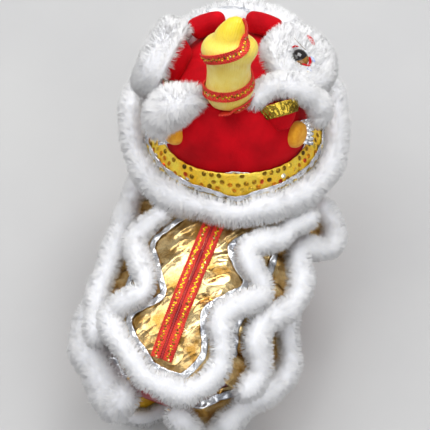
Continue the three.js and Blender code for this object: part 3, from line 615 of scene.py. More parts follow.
def domeSurface(u, v):
    bearing, fall = 360 * u, rimFall(360 * u) * v
    lift = np.zeros_like(u)
    for seam in hood["seams"]:
        arc = np.radians(turnBetween(bearing, seam)) * hood["seamArm"] * np.sin(np.radians(fall))
        lift -= hood["seamDepth"] * np.exp(-(arc / hood["seamWidth"]) ** 2)
    lift += hood["puff"] * np.sin(fall * hood["puffPitch"] + 2 * np.sin(np.radians(bearing * 3))) * v
    return onHead(domeSpot(bearing, fall, lift))


dome = shapeCloth("hoodDome", domeSurface, (150, 42), hood["wall"], "red_velour", ("hood_shell",),
                  wrapped=True)
declareCloth(domeSurface)
# A thin crinkled silver edging shows where the dome meets the ruff
edging = {"from": 88, "to": 272, "above": 13, "sway": 4, "lift": 2.4, "width": 2.6}
rimLine = domeLine(edging["from"], edging["to"], lambda b: rimFall(b) - edging["above"]
                   + edging["sway"] * np.cos(np.radians(b)), edging["lift"])
shapeCloth("domeEdging", tapeOn(rimLine, edging["width"], 0.3, 0.5, 3.2, seed=3), (420, 4), 0.5,
           "silver_tape")

# Neck ruff: a sequinned flounce, open at the face, with a silver ribbon, gold piping and a fur hem.
# Its rows are (bearing, inner reach, inner height, outer reach, outer height)
ruff = {
    "rows": [(-128, 76.5, -4, 93, -34), (-95, 76.5, -4, 91, -30), (-50, 79.4, 5, 91, -24),
             (-14, 81.4, 17, 91, -13), (0, 81.6, 18, 95, -14), (14, 81.4, 17, 91, -13),
             (50, 79.4, 5, 91, -24), (95, 76.5, -4, 91, -30), (128, 76.5, -4, 93, -34)],
    "end": 128, "bulge": 4, "wall": 1.4, "gathers": 44, "gather": 0.7, "furRadius": 11, "furSwell": 3,
    "ribbonAt": [(0, 0.6), (0.2, 0.56), (0.33, 0.5), (0.42, 0.57), (0.5, 0.68), (0.58, 0.57), (0.67, 0.5),
                 (0.8, 0.56), (1, 0.6)],
    "ribbonWidth": 6.5, "pipingBelow": 0.11, "pipingRadius": 1.3,
    "sequinPitch": 8.2, "sequinSize": 5.0, "sequinRows": (0.08, 0.26, 0.43), "sewn": 0.72,
    "sequinLift": 0.7, "sequinTilt": 0.16, "topRowTo": 0.2}


def ruffSurface(u, v, pucker=1.0):
    bearing = mix(ruff["end"], -ruff["end"], u)
    b = np.radians(bearing)
    reach = mix(along(ruff["rows"], bearing, 1), along(ruff["rows"], bearing, 3), v)
    front = np.maximum(0, -np.cos(b)) * (hood["front"] - hood["halfWidth"])
    gather = pucker * ruff["gather"] * np.sin(ruff["gathers"] * b + 2 * np.sin(3 * b)) * (0.3 + v)
    r = reach + front + ruff["bulge"] * np.sin(math.pi * v) + gather
    z = mix(along(ruff["rows"], bearing, 2), along(ruff["rows"], bearing, 4), v)
    return onHead(points(r * np.sin(b), -r * np.cos(b), z))


def ruffPlain(u, v):
    return ruffSurface(u, v, 0.0)


def lineOn(surface, start, end, v, lift, spacing=2.0, soften=0):
    u = np.linspace(start, end, 260)
    v = v(u) if callable(v) else np.full_like(u, v)
    out = facing(surface, u, v)[0]
    return layLine(surface(u, v) + out * lift, out, spacing, soften)


ruffCloth = shapeCloth("ruffCloth", ruffSurface, (300, 22), ruff["wall"], "gold_sequin", ("neck_ruff",))
ribbonLine = lineOn(ruffPlain, 0.01, 0.99, lambda u: along(ruff["ribbonAt"], u), 0.9)
ruffRibbon = shapeCloth("ruffRibbon", tapeOn(ribbonLine, ruff["ribbonWidth"], 0.2, 0.7, 9),
                        (380, 5), 0.5, "silver_tape", ("ruff_ribbon",))
pipingLine = lineOn(ruffPlain, 0.01, 0.99, lambda u: along(ruff["ribbonAt"], u) + ruff["pipingBelow"], 1.2)
shapeSolid("ruffPiping", rollOn(pipingLine, ruff["pipingRadius"]), (260, 8), "gold_tape")

rng = np.random.default_rng(11)
spotU, spotV = [], []
number = int(lineOn(ruffSurface, 0, 1, 0.4, 0)["length"] / ruff["sequinPitch"])
for k, v in enumerate(ruff["sequinRows"]):
    spotU.append((np.arange(number) + 0.5 + 0.5 * (k % 2)) / (number + 0.5))
    spotV.append(np.full(number, v) + rng.normal(0, 0.01, number))
spotU, spotV = np.concatenate(spotU).clip(0.004, 0.996), np.concatenate(spotV)
sewn = rng.random(len(spotU)) < ruff["sewn"]  # some have come off
spotU, spotV = spotU[sewn], spotV[sewn]
out = facing(ruffSurface, spotU, spotV)[0]
across = unit(ruffSurface(spotU + 0.003, spotV) - ruffSurface(spotU - 0.003, spotV))
# Sequin colours: the foil's golds, orange and red, with painted light among them: the near-white last tint is
# a painted glint, and the two darkest golds are partly painted dark reflection
tints = [hexColour(c) for c in ("#9a7418", "#b98a1e", "#f09a20", "#f7cf48", "#6d5216", "#e05420", "#fff6e0")]
# the top row is mostly dark gold, partly a painted dark reflection, and the lower rows mostly orange
upper = rng.choice(7, len(spotV), p=(.34, .26, .1, .1, .14, .03, .03))
lower = rng.choice(7, len(spotV), p=(.1, .14, .42, .18, .06, .07, .03))
pick = np.where(spotV < ruff["topRowTo"], upper, lower)
ruffSequins = strew("ruffSequins", sequinShape(10), ruffSurface(spotU, spotV) + out * ruff["sequinLift"],
                    tilted(out, across, rng, ruff["sequinTilt"]), ruff["sequinSize"], "gold_sequin",
                    [tints[i] for i in pick], sequinFabric)
print("hood and ruff shaped")

# Fur round the ruff's hem and over the face opening, each swelling where the photo's does
ruffHem = lineOn(ruffPlain, 0, 1, 0.995, ruff["furRadius"] * fur["seat"] + 1.8, 2.0, 6)
ruffTrims = furEdge("ruffFur", ruffHem, lambda u: ruff["furRadius"] + ruff["furSwell"] * np.exp(
    -((np.abs(u - 0.5) - 0.17) / 0.1) ** 2), dict(fur, count=24500), 21, "ruff_fur")
declareCloth(ruffSurface)
brim = {"fall": [(-82, 86), (-45, 82), (0, 74), (45, 73), (82, 82)], "end": 82, "lift": 4, "swell": 6,
        "reach": 0.45}
brimLine = domeLine(-brim["end"], brim["end"], lambda b: along(brim["fall"], b),
                    ruff["furRadius"] * fur["seat"] + brim["lift"])
furEdge("brimFur", brimLine, lambda u: ruff["furRadius"] + brim["swell"] * np.exp(-((u - 0.6) / 0.25) ** 2),
        dict(fur, count=14000, reach=brim["reach"]), 22, "brim_fur")

# Padded brow rolls, puffed and wrinkled at their sewn ends
brow = {"radius": 11, "from": 12, "to": 42, "fall": 39, "level": 15, "slope": 0.42, "blunt": 0.6,
        "wrinkle": 0.5, "pleats": 9, "pleatEnd": 0.12}
for side, sign in sides.items():
    line = domeLine(sign * brow["from"], sign * brow["to"], lambda b: brow["fall"] + brow["slope"]
                    * (np.abs(b) - brow["level"]), brow["radius"] + 0.5)
    smoothRoll = rollOn(line, brow["radius"], 1.0, brow["blunt"])

    def browSkin(u, v, roll=smoothRoll):
        end = np.exp(-np.minimum(u, 1 - u) / brow["pleatEnd"])
        pleat = brow["wrinkle"] * np.sin(turnOnce * brow["pleats"] * v + 3 * u) * end
        return roll(u, v) + facing(roll, u, v)[0] * pleat[:, None]
    piece = shapeSolid("browRoll" + side.title(), browSkin, (60, 48), "red_velour", ("brow_roll_" + side,))
    stuff(piece, 2.2, 1.5)

# Horn: stuffed tiers that lean forward, the tip drawn to the right, wound with sequin braid.
# tiers are (height, radius, drawn right by) and wind is (turns, height)
horn = {
    "root": np.array([-7.0, -29, 60]), "lean": math.radians(25),
    "tiers": [(0, 17, 0), (6, 20.5, 0), (14, 22.5, 0), (24, 21, 0), (34, 20, 0), (44, 21, 0), (51, 24.5, 0),
              (57, 25.5, 0), (62.5, 22.5, 0), (66, 16.5, 0), (72, 13.5, 1), (79, 10, 3.5), (86, 4.5, 6)],
    "top": 86, "hatch": 0.35, "fold": 0.6, "capAt": 59, "capWidth": 6, "lemonFrom": 47, "lemonOver": 30,
    "wind": [(0.33, -2), (0.25, 0), (0, 9), (-0.5, 15), (-0.75, 18), (-1, 25), (-1.25, 34), (-1.5, 47),
             (-1.68, 56), (-1.8, 61), (-1.88, 65), (-1.94, 70)],
    "braidWidth": 9, "braidLift": 0.6, "pipeFrom": 68, "pipeTo": 85, "pipeBend": 8}
hornAxis = np.array([0, math.sin(horn["lean"]), math.cos(horn["lean"])])
hornAcross = np.array([1.0, 0, 0])
hornAhead = -np.cross(hornAxis, hornAcross)


def hornSpot(height, angle, lift=0.0):
    r = along(horn["tiers"], height, 1) + lift
    shift = along(horn["tiers"], height, 2)
    return (horn["root"] + hornAxis * height[:, None] + hornAcross * (shift + r * np.cos(angle))[:, None]
            + hornAhead * (r * np.sin(angle))[:, None])


def hornSkin(u, v):
    height, angle = horn["top"] * v, -turnOnce * u
    cap = np.exp(-((height - horn["capAt"]) / horn["capWidth"]) ** 2)
    lift = horn["hatch"] * cap * np.sin(48 * angle + height)
    lift += horn["fold"] * np.sin(3 * angle + 0.12 * height) * np.sin(math.pi * v)
    closing = np.clip((1 - v) / 0.03, 0, 1) ** 0.5 * np.clip(v / 0.01, 0, 1)
    p = hornSpot(height, angle, lift)
    middle = hornSpot(height, angle, -along(horn["tiers"], height, 1))
    return onHead(mix(middle, p, closing[:, None]))


def lemonShare(u, v):
    return np.clip((horn["top"] * v - horn["lemonFrom"]) / horn["lemonOver"], 0, 1)


hornBody = shapeSolid("hornBody", hornSkin, (120, 90), "yellow_plush", ("horn",), lemonShare)
turn = np.linspace(horn["wind"][0][0], horn["wind"][-1][0], 300)
windHeight, windAngle = along(horn["wind"], turn), turnOnce * turn
windUp = facing(hornSkin, -turn % 1, np.clip(windHeight / horn["top"], 0.01, 0.99))[0]
hornLine = layLine(onHead(hornSpot(windHeight, windAngle)) + windUp * horn["braidLift"], windUp, 1.5, 3)

# Sequin braid: a woven strip with thread loops along both edges and a zigzag of small foil diamonds.
# loopRows say where across the strip a row lies and how far along it starts
braid = {"wall": 0.9, "loopPitch": 2.3, "loopRows": {-0.47: 0.5, -0.3: 1, 0.3: 1, 0.47: 0.5},
         "loopLift": 1.25, "loopSize": (2.1, 1.5, 1.1), "zigzagPitch": 2.6, "zigzag": 0.13,
         "sequinLift": 1.5, "sequinSize": 2.3,
         "tints": [hexColour(c) for c in ("#f3c52c", "#d89a18", "#8a5c10", "#fbe9a0")]}


def sequinBraid(name, line, width, nodes, seed):
    rng = np.random.default_rng(seed)
    shapeCloth(name, tapeOn(line, width, 0.9, 0.12, 6), (int(line["length"] / 1.6), 8), braid["wall"],
               "red_braid", nodes)

    def seat(spots, lift):
        u, off = np.array(spots).T
        spot, up, across, tangent = atLine(line, u)
        return spot + across * (off * width)[:, None] + up * lift, up, across, tangent
    number = int(line["length"] / braid["loopPitch"])
    loops = [((i + shift) / (number + 1), edge)
             for edge, shift in braid["loopRows"].items() for i in range(number)]
    place, up, across, tangent = seat(loops, braid["loopLift"])
    strew(name + "Loops", beadShape(), place, tilted(up, tangent, rng, 0.1), braid["loopSize"], "red_braid")
    number = int(line["length"] / braid["zigzagPitch"])
    zigzag = []
    for i in range(number):
        swing = braid["zigzag"] * (1 if i % 2 else -1)
        zigzag += [((i + 0.5) / number, swing), ((i + 1.0) / (number + 0.5), 0.0)]
    place, up, across, tangent = seat(zigzag, braid["sequinLift"])
    tint = [braid["tints"][i] for i in rng.choice(4, len(place), p=(.45, .25, .2, .1))]
    strew(name + "Sequins", sequinShape(4), place, tilted(up, across, rng, 0.22), braid["sequinSize"],
          "gold_sequin", tint, sequinFabric)


sequinBraid("hornBraid", hornLine, horn["braidWidth"], ("horn_braid",), 31)
# Red piping runs on from the braid up the right edge of the tip
pipeHeight = np.linspace(horn["pipeFrom"], horn["pipeTo"], 40)
pipeAngle = turnOnce * mix(0.06, 0.02, np.clip((pipeHeight - horn["pipeFrom"]) / horn["pipeBend"], 0, 1))
pipeUp = unit(hornSpot(pipeHeight, pipeAngle, 1) - hornSpot(pipeHeight, pipeAngle, 0))
pipeLine = layLine(onHead(hornSpot(pipeHeight, pipeAngle, 0.9)), turnHead(pipeUp), 1.0, 4)
shapeSolid("hornPiping", rollOn(pipeLine, lambda u: 1.7 + 0.25 * np.sin(u * 90)), (80, 10), "red_braid")

# Forehead pad: a white cushion with a silver glitter lens along its front
forehead = {"bearing": -5, "fall": 60, "half": (23, 15), "lensLift": 16.5, "lensHalf": (22, 6.5),
            "layers": [(-6, 0.0), (-6, 0.9), (0, 1.0), (9, 0.94), (15, 0.72), (17.4, 0.35), (18, 0.0)],
            "lens": [(-2, 0.0), (-2, 0.9), (0, 1.0), (1.6, 0.8), (2.4, 0.4), (2.6, 0.0)]}


# A stuffed oval on a foot: layers are (height, share of the oval)
def ovalSkin(centre, out, long, halfLong, halfWide, layers):
    out = unit(np.array(out, float))
    long = unit(np.array(long, float) - out * np.dot(long, out))
    wide = np.cross(out, long)
    table = [(i / (len(layers) - 1), height, share) for i, (height, share) in enumerate(layers)]

    def surface(u, v):
        angle = turnOnce * u
        share = along(table, v, 2)
        return onHead(centre + out * along(table, v, 1)[:, None]
                      + long * (halfLong * share * np.cos(angle))[:, None]
                      + wide * (halfWide * share * np.sin(angle))[:, None])
    return surface


foot = domeSpot(np.array([forehead["bearing"]]), np.array([forehead["fall"]]))[0]
padSkin = ovalSkin(foot, domeOut(foot), (1, 0, 0), *forehead["half"], forehead["layers"])
pad = shapeSolid("foreheadPad", padSkin, (48, 24), "white_satin", ("forehead_pad",))
stuff(pad, 2.2, 1.5)
lens = ovalSkin(foot + domeOut(foot) * forehead["lensLift"], (0, 0.3, 0.95), (1, 0, 0), *forehead["lensHalf"],
                forehead["lens"])
shapeSolid("foreheadLens", lens, (60, 20), "silver_glitter")
print("horn and brow shaped")

# Eye pads: a felt backing with deep fur over it and a resin eye with painted lids
eyePads = {
    "right": {"centre": (59, 23, 52), "inward": 1, "out": (0.36, 0.05, 0.93), "long": (0.1, 1, 0)},
    "left": {"centre": (-70, 32, 48), "inward": -1, "out": (-0.9, 0.36, 0.24), "long": (0.43, 0.88, 0.1)}}
eyeStrokes = [
    ("red_velour", 2.6, [(31, -6), (25, -10), (19, -13.5)]),
    ("brown_thread", 0.4, [(20, 8), (15, 3), (8.5, -4.5)]),
    ("red_velour", 1.0, [(10.5, 3), (9.5, 7.5), (6, 9.5)]),
    ("red_velour", 1.5, [(2, -8.5), (-4, -9.8), (-10, -8.5)]),
    ("red_velour", 1.3, [(-9.5, -9), (-10, -5), (-10, -1)]),
    ("blue_felt", 1.5, [(3, -10), (0, -12.5), (-3, -14.5)]),
    ("blue_felt", 1.3, [(-12, -6), (-13.5, -9), (-14.5, -12)]),
    ("gold_tape", 0.9, [(-16, -7), (-17.5, -9.5)])]
eyePad = {"pile": 8, "bareReach": 17, "half": (34, 31), "eyeBack": 8, "eyeIn": 4.5, "eyeUp": 18.5,
          "ballHalf": (8.5, 7.6), "irisHalf": (8.4, 7.6), "irisAside": 1.1, "irisBelow": 0.5,
          "felt": [(-24, 0.0), (-23, 0.5), (-14, 0.74), (-6, 0.88), (-3, 0.94), (0, 0.86), (0, 0.0)],
          "fur": [(-9, 0.0), (-9, 0.96), (-2, 1.05), (9, 1.05), (13.5, 0.88), (15, 0.55), (15.5, 0.0)],
          "ball": [(-4, 0.0), (-4, 1.0), (0, 1.02), (2, 0.92), (3.6, 0.62), (4.4, 0.3), (4.6, 0.0)]}
for side, place in eyePads.items():
    label, inward = side.title(), place["inward"]
    centre, out = np.array(place["centre"], float), unit(np.array(place["out"], float))
    skin = ovalSkin(centre, out, place["long"], *eyePad["half"], eyePad["fur"])
    felt = ovalSkin(centre, out, place["long"], *eyePad["half"], eyePad["felt"])
    shapeSolid("eyeFelt" + label, felt, (56, 24), "red_velour", ("eye_backing_" + side,))
    # the backing carries no tip value, so the fur shader paints it all over with the roots' painted shade
    base = shapeSolid("eyeFurBacking" + label, skin, (48, 20), "white_fur", ("eye_fur_" + side,))
    long = unit(np.array(place["long"], float) - out * np.dot(place["long"], out))
    wide = np.cross(out, long)
    seat = centre + out * eyePad["eyeUp"] - long * eyePad["eyeBack"] + wide * inward * eyePad["eyeIn"]
    pile = dict(fur, count=14000, length=eyePad["pile"], lock=5, nap=(0, 0, 0), band=(0.18, 1),
                bare=(onHead(seat), eyePad["bareReach"]))
    growFur("eyeFurPile" + label, skin, (220, 60), pile, 41)
    ball = ovalSkin(seat, out, place["long"], *eyePad["ballHalf"], eyePad["ball"])
    shapeSolid("eyeBall" + label, ball, (36, 18), "black_resin", ("eye_" + side,))
    aside = long * eyePad["irisAside"] + wide * inward * eyePad["irisAside"] + out * eyePad["irisBelow"]
    iris = ovalSkin(seat - aside, out, place["long"], *eyePad["irisHalf"], eyePad["ball"])
    shapeSolid("eyeIris" + label, iris, (36, 18), "brown_resin")
    # Painted strokes round the eye: a and b run up the pad and in towards the crown, in mm from the eye
    for number, (slot, thick, spots) in enumerate(eyeStrokes):
        a, b = np.array(spots, float).T
        fine = np.linspace(0, 1, 30)
        steps = np.linspace(0, 1, len(a))
        a, b = np.interp(fine, steps, a) - eyePad["eyeBack"], np.interp(fine, steps, b) + eyePad["eyeIn"]
        reach = np.hypot(a / eyePad["half"][0], b / eyePad["half"][1])
        top = np.interp(reach, (0, 0.55, 0.86, 1.0), (15.5, 15, 13.5, 10)) + eyePad["pile"] * 0.6
        spot = centre + long * a[:, None] + wide * (b * inward)[:, None] + out * top[:, None]
        line = layLine(onHead(spot), turnHead(np.tile(out, (30, 1))), 0.8, 3)
        shapeSolid(f"eyeStroke{label}{number}", rollOn(line, thick, 0.5, 3.0), (30, 10), slot)
print("eyes shaped")

# Ears: felt cups with a crumpled foil tape round the lip, a fur lining and a felt lobe below
earCup = [(0, 6, 6), (0.35, 13, 10), (0.7, 18, 12), (1, 21, 13)]
ears = {
    "right": {"root": (45, -47, 42.5), "lip": (38, -27, 58), "across": (0.93, 0.2, 0.3), "bearing": 123,
              "fur": [(12, -35, 64, 5.5), (22, -25, 68, 8.5), (36, -17, 70, 10), (53, -18, 69, 11),
                      (69, -20, 58, 11), (80, -22, 42, 11), (78, -32, 30, 6)]},
    "left": {"root": (-52, -4, 40), "lip": (-72, -6, 44), "across": (0.5, -0.4, 0.7), "bearing": -120,
             "fur": [(-34, -24, 64, 6), (-46, -29, 64, 13), (-61, -32, 57, 17), (-73, -36, 44, 15),
                     (-75, -43, 31, 8)]}}
earSet = {"wall": 2.0, "tapeFrom": 0.5, "tapeTo": 1.0, "tapeLift": 1.2, "crumple": 0.7,
          "lobe": [(-4, 0.0), (-4, 0.9), (0, 1.0), (5, 0.9), (7, 0.55), (7.5, 0.0)], "lobeHalf": (12, 14),
          "lobeFall": 69, "jags": 5, "jagFrom": 62, "jagBy": 13, "trimWidth": 3.4}


def earSkin(ear, start, end, grow, crumple=0.0):
    root, lip = np.array(ear["root"], float), np.array(ear["lip"], float)
    axis = unit(lip - root)
    a = unit(np.array(ear["across"]) - axis * np.dot(ear["across"], axis))
    b = np.cross(axis, a)

    def surface(u, v):
        at, angle = mix(start, end, v), turnOnce * u
        lift = grow + crumple * np.sin(17 * angle + 9 * v) * np.sin(11 * angle - 5 * v)
        wide, deep = along(earCup, at, 1) + lift, along(earCup, at, 2) + lift
        return onHead(root + (lip - root) * at[:, None] + a * (wide * np.cos(angle))[:, None]
                      + b * (deep * np.sin(angle))[:, None])
    return surface


for k, (side, ear) in enumerate(ears.items()):
    label = side.title()
    shapeCloth("earCup" + label, earSkin(ear, 0.0, 1.0, 0), (64, 16), earSet["wall"], "red_velour",
               ("ear_" + side,), wrapped=True)
    foil = earSkin(ear, earSet["tapeFrom"], earSet["tapeTo"], earSet["tapeLift"], earSet["crumple"])
    shapeCloth("earTape" + label, foil, (150, 10), 0.7, "gold_tape", ("ear_tape_" + side,), wrapped=True)
    spots = np.array(ear["fur"], float)
    share = np.linspace(0, 1, len(spots))
    fine = np.linspace(0, 1, 60)
    curve = np.stack([along(list(zip(share, spots[:, c])), fine) for c in range(3)], 1)
    thick = list(zip(share, spots[:, 3]))
    line = layLine(onHead(curve), turnHead(domeOut(curve)))
    furEdge("earFur" + label, line, lambda u, rows=thick: along(rows, u), dict(fur, count=9000), 51 + k,
            "ear_fur_" + side)
    foot = domeSpot(np.array([float(ear["bearing"])]), np.array([float(earSet["lobeFall"])]))[0]
    lobeSkin = ovalSkin(foot, domeOut(foot), (0, 0, 1), *earSet["lobeHalf"], earSet["lobe"])
    lobe = shapeSolid("earLobe" + label, lobeSkin, (40, 18), "orange_felt", ("ear_lobe_" + side,))
    stuff(lobe, 1.8, 1.0)
    # a jagged silver trim beside the lobe
    t = np.linspace(0, 1, 160)
    jag = np.abs((t * earSet["jags"]) % 1 - 0.5) * 2
    spot = points(math.copysign(1, ear["bearing"]) * (earSet["jagFrom"] + earSet["jagBy"] * jag),
                  mix(-30, -44, t), mix(35, 14, t))
    trim = tapeOn(layLine(onHead(spot), turnHead(domeOut(spot)), 0.6), earSet["trimWidth"], 0.2, 0.3, 3)
    shapeCloth("lobeTrim" + label, trim, (160, 4), 0.6, "silver_tape")
print("ears shaped")

# The coat. The back lies on a saddle: (y, half width, trunk half width, top) down the spine
saddle = [(62, 130, 42, 34), (20, 128, 49, 50), (-10, 106, 56, 57), (-40, 84, 61, 60), (-70, 79, 64, 60),
          (-120, 78, 65, 57), (-165, 70, 58, 47), (-205, 54, 44, 28)]
back = {
    "edge": [(-4, -30, 66), (-20, -34, 62), (-36, -44, 46), (-52, -56, 36), (-66, -63, 46), (-78, -59, 61),
             (-100, -44, 50), (-122, -33, 36), (-145, -56, 44), (-160, -48, 47), (-178, -26, 40),
             (-194, -6, 26)],
    "front": -4, "hem": -194, "wall": 1.3, "furRadius": 10.5, "ribbonInset": 13, "ribbonWidth": 6.5,
    "shoulder": [(76, 4), (82, 18)], "creaseGap": 9, "creaseHeight": 3.6, "creaseFrom": 12, "arch": 62,
    "flatHalf": 9, "flatFade": 8}
rng = np.random.default_rng(7)
backCreases = []
for side in (-1, 1):
    for y in np.arange(-14, -184, -back["creaseGap"]):
        edge = along(back["edge"], y, 1 if side < 0 else 2)
        start = (side * back["creaseFrom"] + rng.normal(0, 1.5), y + rng.normal(0, 3))
        reach = max(abs(edge) - back["creaseFrom"], 14)
        slope = (-0.9 if side < 0 else 0.8) + rng.normal(0, 0.5)
        end = (start[0] + side * reach * rng.uniform(0.6, 1), start[1] + slope * reach)
        backCreases.append((*start, *end, back["creaseHeight"] * rng.uniform(-0.7, 1), rng.uniform(2, 4)))


def backZ(x, y):
    arch = np.sqrt(np.maximum(0, 1 - (x / along(saddle, y, 1)) ** 2))
    return along(saddle, y, 3) - back["arch"] * (1 - arch)


def onBack(x, y):
    clear = np.clip((np.abs(x) - back["flatHalf"]) / back["flatFade"], 0, 1)  # flat below the braids
    return points(x, y, backZ(x, y) + creaseHeight(backCreases, x, y) * clear)


def backSurface(u, v):
    y = mix(back["front"], back["hem"], u)
    return onBack(mix(along(back["edge"], y, 1), along(back["edge"], y, 2), v), y)


def layBack(outline, lift, spacing=2.0, soften=0):
    x, y = np.array(outline, float).T
    small = 0.4
    out = unit(points((backZ(x - small, y) - backZ(x + small, y)) / (2 * small),
                      (backZ(x, y - small) - backZ(x, y + small)) / (2 * small), np.ones_like(x)))
    return layLine(onBack(x, y) + out * lift, out, spacing, soften)


def backOutline(leftFrom, rightTo, inset, beyond=()):
    hem = back["hem"] + inset * 0.8
    down, up = np.linspace(leftFrom, hem, 90), np.linspace(hem, rightTo, 90)
    left = list(zip(along(back["edge"], down, 1) + inset, down))
    right = list(zip(along(back["edge"], up, 2) - inset, up))
    return left + [((left[-1][0] + right[0][0]) / 2, hem - 1)] + right + list(beyond)


backCloth = shapeCloth("backCloth", backSurface, (150, 74), back["wall"], "gold_lame", ("back_panel",))
backFur = layBack(backOutline(-36, -8, 0, back["shoulder"]), back["furRadius"] * fur["seat"] + 1.2, 2.0, 8)
backTrims = furEdge("backFur", backFur, back["furRadius"] * 0.95, dict(fur, count=28000), 61, "back_fur")
backRibbon = layBack(backOutline(-24, -22, back["ribbonInset"]), 0.6, 1.5, 6)
backTrims.append(shapeCloth("backRibbon", tapeOn(backRibbon, back["ribbonWidth"], 0.2, 0.9, 9), (380, 5), 0.5,
                            "silver_tape", ("back_ribbon",)))
declareCloth(backSurface)

# Spine braid: two sequinned strips with the zip's cord between them
spine = {"from": -24, "to": -176, "width": 8.5, "gap": 3.2, "zipRadius": 1.3, "tooth": 0.18, "teeth": 400}
for side, sign in sides.items():
    x = sign * (spine["width"] + spine["gap"]) / 2
    line = layBack([(x, y) for y in np.linspace(spine["from"], spine["to"], 80)], 0.4, 1.5)
    sequinBraid("spineBraid" + side.title(), line, spine["width"], ("spine_braid_" + side,), 71)
zipLine = layBack([(0, y) for y in np.linspace(spine["from"], spine["to"], 80)], 1.0, 1.0)
zipSkin = rollOn(zipLine, lambda u: spine["zipRadius"] + spine["tooth"] * np.sin(u * spine["teeth"]), 0.8)
shapeSolid("spineZip", zipSkin, (300, 10), "red_satin", ("spine_zip",))
print("back shaped")

# Lower tiers: (y, inner, spread, left, right) along the body, and (out, drop) down from the spine
tiers = {
    "flank": {
        "rows": [(62, 60, .86, 76, 76), (40, 59, .92, 97, 99), (12, 56, .97, 97, 103), (-9, 50, .94, 96, 78),
                 (-21, 46, .93, 95, 77), (-46, 42, .97, 88, 89), (-75, 41, .99, 85, 87),
                 (-102, 40.5, 1, 82, 71), (-120, 40, 1, 82, 68), (-141, 39, .96, 75, 80),
                 (-157, 38, .92, 67, 77), (-168, 37, .9, 61, 70)],
        "fall": [(38, 11.6), (62, 29), (78, 42), (94, 55), (116, 72)], "count": 15000, "turnTo": 0.9,
        "plump": {"left": 0, "right": 0},
        "inset": {"left": [(62, 0), (-168, 0)], "right": [(62, 0), (-168, 0)]}},
    "hip": {
        "rows": [(-58, 69, .985, 78, 78), (-82, 69.5, .99, 83, 86), (-112, 70, 1, 88, 99),
                 (-140, 68, .97, 91, 91), (-160, 65, .925, 81, 78), (-176, 60, .86, 63, 69),
                 (-188, 49, .7, 49, 61), (-202, 30, .44, 33, 42)],
        "fall": [(64, 50), (80, 68), (92, 86), (102, 104), (116, 124)], "count": 12500, "turnTo": 0.15,
        "plump": {"left": 8, "right": 2},
        "inset": {"right": [(-58, 0), (-150, 0), (-164, 4), (-176, 16), (-188, 24), (-202, 20)],
                  "left": [(-58, 0), (-140, 0), (-160, 8), (-176, 20), (-188, 20), (-202, 16)]}}}
tierCloth = {"wall": 1.3, "foldGap": 14, "fold": 3.4, "ribbonTo": 0.9, "ribbonAt": 0.45, "ribbonWidth": 8,
             "furRadius": 11.2}


def tierSurface(tier, side, folded=True):
    rows, fall = tiers[tier]["rows"], tiers[tier]["fall"]
    sign, column = (1, 4) if side == "right" else (-1, 3)
    front, rear = rows[0][0], rows[-1][0]

    def surface(u, v):
        y = mix(front, rear, u) if sign > 0 else mix(rear, front, u)
        inner = along(rows, y, 1) - along(tiers[tier]["inset"][side], y)
        x = mix(inner, along(rows, y, column), v)
        lift = 0.0
        if folded:
            lean = y + 7 * v * np.sin(y / 19)
            lift = np.abs(np.sin(math.pi * lean / tierCloth["foldGap"])) + 0.4 * np.sin(lean / 2.9 + 5 * v)
            lift = tierCloth["fold"] * (lift - 0.5) * np.clip(v * 1.6, 0, 1)
        z = along(saddle, y, 3) - along(fall, x / along(rows, y, 2)) + lift
        return points(sign * (x + 0.5 * lift), y, z)
    return surface


# Along a tier at v, from front to rear, and then in across its rear end to turnTo
def tierLine(surface, sign, v, rearTo, turnTo, lift, spacing, soften):
    u = np.concatenate([np.linspace(0, rearTo, 220), np.full(60, rearTo)])
    v = np.concatenate([np.full(220, v), np.linspace(v, turnTo, 60)])
    if sign < 0:
        u = 1 - u
    out = facing(surface, u, v)[0]
    return layLine(surface(u, v) + out * lift, out, spacing, soften)


for k, tier in enumerate(tiers):
    for j, (side, sign) in enumerate(sides.items()):
        name = tier + side.title()
        folds = tierSurface(tier, side)
        cloth = shapeCloth(name, folds, (130, 24), tierCloth["wall"], "gold_lame", (tier + "_" + side,))
        plain = tierSurface(tier, side, False)
        turnTo, plump = tiers[tier]["turnTo"], tiers[tier]["plump"][side]
        hem = tierLine(plain, sign, 0.99, 0.995, turnTo, back["furRadius"] * fur["seat"] + 1.2, 2.0, 6)
        swell = [(0, 0), (0.4, 0), (0.62, plump), (0.85, plump), (1, 0)]
        reach = fur["reach"] * tierCloth["furRadius"] / (tierCloth["furRadius"] + plump)
        pile = dict(fur, count=tiers[tier]["count"], reach=reach)
        trims = furEdge(name + "Fur", hem, lambda u, rows=swell: tierCloth["furRadius"] + along(rows, u),
                        pile, 81 + 2 * k + j, f"{tier}_fur_{side}")
        ribbonTurn = min(tierCloth["ribbonAt"], turnTo + 0.1)
        line = tierLine(folds, sign, tierCloth["ribbonAt"], tierCloth["ribbonTo"], ribbonTurn, 0.9, 1.5, 4)
        ribbon = tapeOn(line, tierCloth["ribbonWidth"], 0.2, 0.8, 9)
        trims.append(shapeCloth(name + "Ribbon", ribbon, (220, 5), 0.5, "silver_tape",
                                (f"{tier}_ribbon_{side}",)))
        declareCloth(folds)
print("tiers shaped")

# Base coat: a barrel round the trunk, slanting open at the neck, with four leg openings below
trunk = {"below": 3.6, "halfHeight": 63, "neckTop": 0, "neckLow": 56, "tailTop": -184, "tailLow": -176,
         "wall": 1.3, "holes": [(-33, 14, 23), (33, 14, 23), (-37, -160, 19.4), (40, -152, 19.4)],
         "seatFrom": 0.8, "seatNarrow": 0.2, "seatBack": 11, "seatDrop": 60, "holeNear": 2.2}


